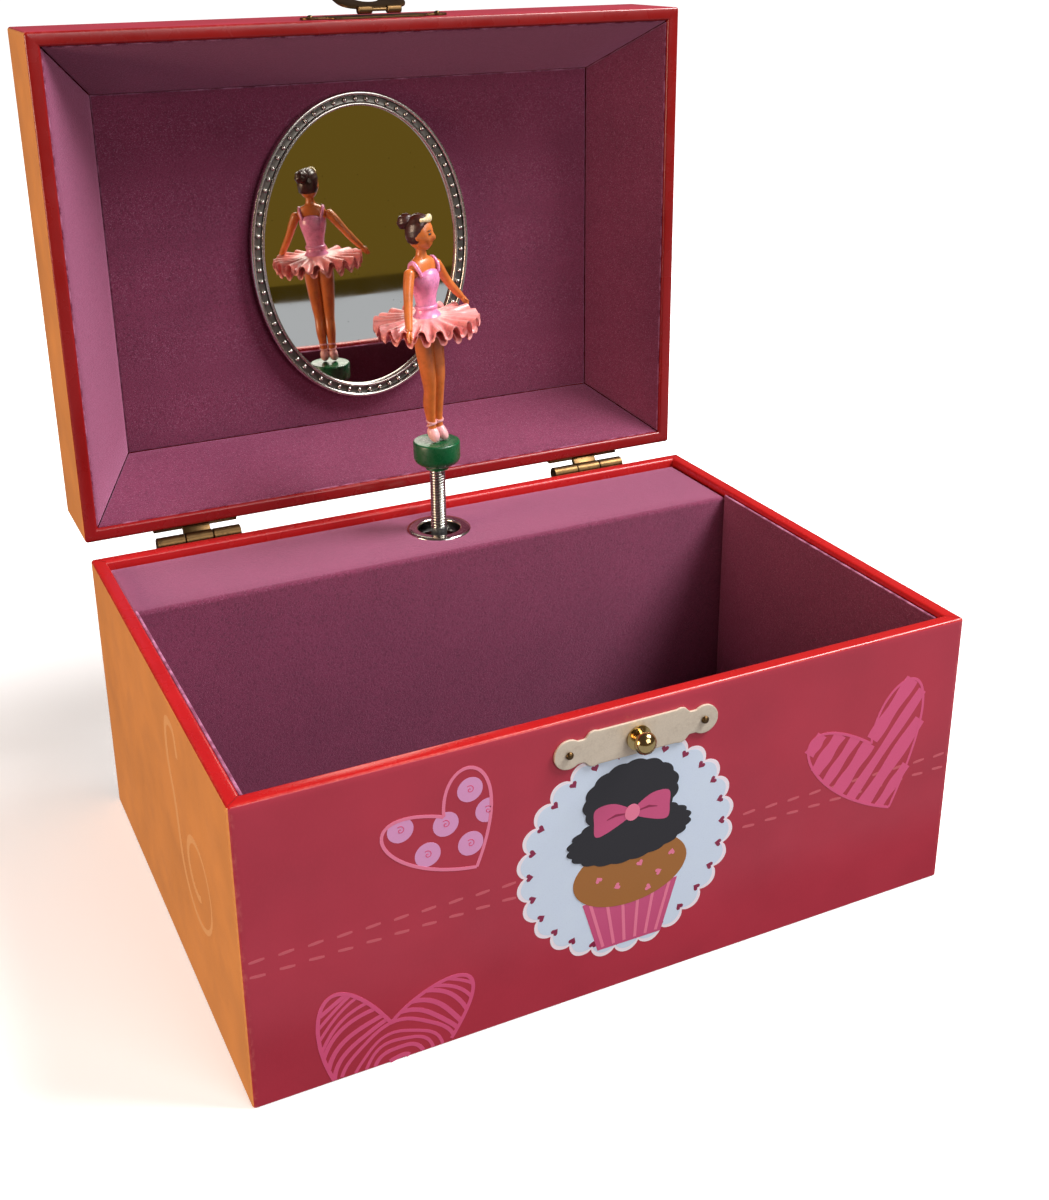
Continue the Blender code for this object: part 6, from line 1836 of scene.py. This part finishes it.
def stage_sheet(name, low, high, height, material, dome=0.0):
    """A flat sheet of the stage, or a ball of the given radius round it all."""
    x, y = np.meshgrid(np.linspace(low[0], high[0], 3), np.linspace(low[1], high[1], 3), indexing="ij")
    grid = np.stack([x, y, np.full(x.shape, height)], -1)
    faces = quads(3, 3)[:, ::-1]
    if dome:
        grid = ball(np.zeros(3), np.full(3, dome), 48, 25)
        faces = quads(25, 48, round_columns=True)[:, ::-1]
    mesh = bpy.data.meshes.new(name)
    mesh.from_pydata(grid.reshape(-1, 3).tolist(), [], faces.tolist())
    mesh.materials.append(material)
    sheet = bpy.data.objects.new(name, mesh)
    bpy.context.scene.collection.objects.link(sheet)
    return sheet


def area_light(name, place, aim, size, power, colour):
    """A soft square light that looks from its place to its aim."""
    light = bpy.data.lights.new(name, "AREA")
    light.shape, light.size, light.energy, light.color = "SQUARE", size, power, colour
    lamp = bpy.data.objects.new(name, light)
    bpy.context.scene.collection.objects.link(lamp)
    lamp.location = place
    lamp.rotation_euler = (Vector(place) - Vector(aim)).to_track_quat("Z", "Y").to_euler()


def lights():
    """A large light from the right and above, a warm one from the left, a weak one in front, and the sky."""
    aim = (0, 0, 0.08)
    area_light("key light", (0.82, -0.32, 1.22), aim, 0.6, 34.0, (1.0, 0.98, 0.99))
    area_light("front light", (0.38, -1.25, 0.72), aim, 0.8, 9.5, (1.0, 0.97, 0.96))
    area_light("warm fill light", (-1.1, -0.06, 0.2), aim, 0.5, 11.5, (1.0, 0.74, 0.54))
    world = bpy.data.worlds.new("pale studio")
    world.use_nodes = True
    sky = world.node_tree.nodes["Background"]
    sky.inputs["Color"].default_value = (1.0, 0.8, 0.76, 1.0)
    sky.inputs["Strength"].default_value = 0.1
    bpy.context.scene.world = world


def camera():
    """The camera, from the front left and above."""
    scene = bpy.context.scene
    view = bpy.data.cameras.new("camera")
    view.lens, view.sensor_width, view.sensor_fit = chosen("stage").lens, 36.0, "AUTO"
    view.shift_x, view.shift_y = 0.00665, -0.0972
    view.clip_start, view.clip_end = 0.01, 50.0
    holder = bpy.data.objects.new("camera", view)
    scene.collection.objects.link(holder)
    down, aside, roll = math.radians(20.958), math.radians(-25.835), math.radians(-0.445)
    facing = Euler((math.pi / 2 - down, 0, aside)).to_matrix()
    holder.rotation_euler = (facing @ Matrix.Rotation(roll, 3, "Z")).to_euler()
    holder.location = (-0.1453, -0.3064, 0.2308)
    scene.camera = holder
    scene.view_settings.view_transform = "Standard"


# ---------------------------------------------------------------- operators and panel


def piece_operator(idname, text, *steps):
    """An operator class that runs the given steps."""

    def execute(self, context):
        """Runs the steps in order."""
        for step in steps:
            step()
        return {"FINISHED"}

    label = idname.replace("_", " ").title()
    parts = {"bl_idname": "music_box." + idname, "bl_label": label, "__doc__": text, "execute": execute}
    return type("MUSICBOX_OT_" + idname, (bpy.types.Operator,), parts)


OPERATORS = [
    piece_operator("walls", "Builds the papered walls, creases and base", walls, rim_folds, base),
    piece_operator("linings", "Builds the flocked linings and the ledge", linings, ledge),
    piece_operator("lid", "Builds the papered lid and its flocked linings", lid_shell, lid_linings),
    piece_operator("mirror", "Builds the beaded mirror", mirror),
    piece_operator("front_print", "Prints the hearts, dashes and medallion", front_print),
    piece_operator("other_print", "Prints sides, back and lid", side_print, plain_print),
    piece_operator("eyelet", "Builds the eyelet in the ledge", eyelet),
    piece_operator("spring", "Builds the dancer's spring", spring),
    piece_operator("catch", "Builds the catch on the front", catch),
    piece_operator("latch", "Builds the latch on the lid", latch),
    piece_operator("hinges", "Builds the hinges and their nails", hinges),
    piece_operator("key", "Builds the key, its collar and the back screws", key_and_screws),
    piece_operator("movement", "Paints the musical movement", movement),
    piece_operator("disc", "Builds the dancer's green disc", disc),
    piece_operator("dancer", "Builds the dancer", figure),
    piece_operator("skirt", "Builds the dancer's skirt", skirt),
    piece_operator("stage", "Builds floor, room, lights and camera", floor_and_room, lights, camera),
]

SETTINGS = {
    "music_box_paper": MusicBoxPaperSettings,
    "music_box_flock": MusicBoxFlockSettings,
    "music_box_print": MusicBoxPrintSettings,
    "music_box_fittings": MusicBoxFittingSettings,
    "music_box_dancer": MusicBoxDancerSettings,
    "music_box_movement": MusicBoxMovementSettings,
    "music_box_stage": MusicBoxStageSettings,
}


class MUSICBOX_PT_panel(bpy.types.Panel):
    """Settings and pieces of the musical jewellery box."""

    bl_idname = "MUSICBOX_PT_panel"
    bl_label = "Music Box"
    bl_space_type = "VIEW_3D"
    bl_region_type = "UI"
    bl_category = "Music Box"

    def draw(self, context):
        """Lists the settings in boxes, then a button for each piece."""
        for name, group in SETTINGS.items():
            settings = getattr(context.scene, name)
            section = self.layout.box()
            for field in group.__annotations__:
                section.prop(settings, field)
        for operator in OPERATORS:
            self.layout.operator(operator.bl_idname)


CLASSES = [*SETTINGS.values(), *OPERATORS, MUSICBOX_PT_panel]


def register():
    """Registers the classes and puts the settings on the scene."""
    for made in CLASSES:
        bpy.utils.register_class(made)
    for name, group in SETTINGS.items():
        setattr(bpy.types.Scene, name, bpy.props.PointerProperty(type=group))


def unregister():
    """Takes the settings off the scene and unregisters the classes."""
    for name in SETTINGS:
        delattr(bpy.types.Scene, name)
    for made in reversed(CLASSES):
        bpy.utils.unregister_class(made)


def main():
    """Builds every piece in order, then writes the CAD model's box and the visual model's box."""
    register()
    for operator in OPERATORS:
        group, name = operator.bl_idname.split(".")
        getattr(getattr(bpy.ops, group), name)()


if __name__ == "__main__":
    main()
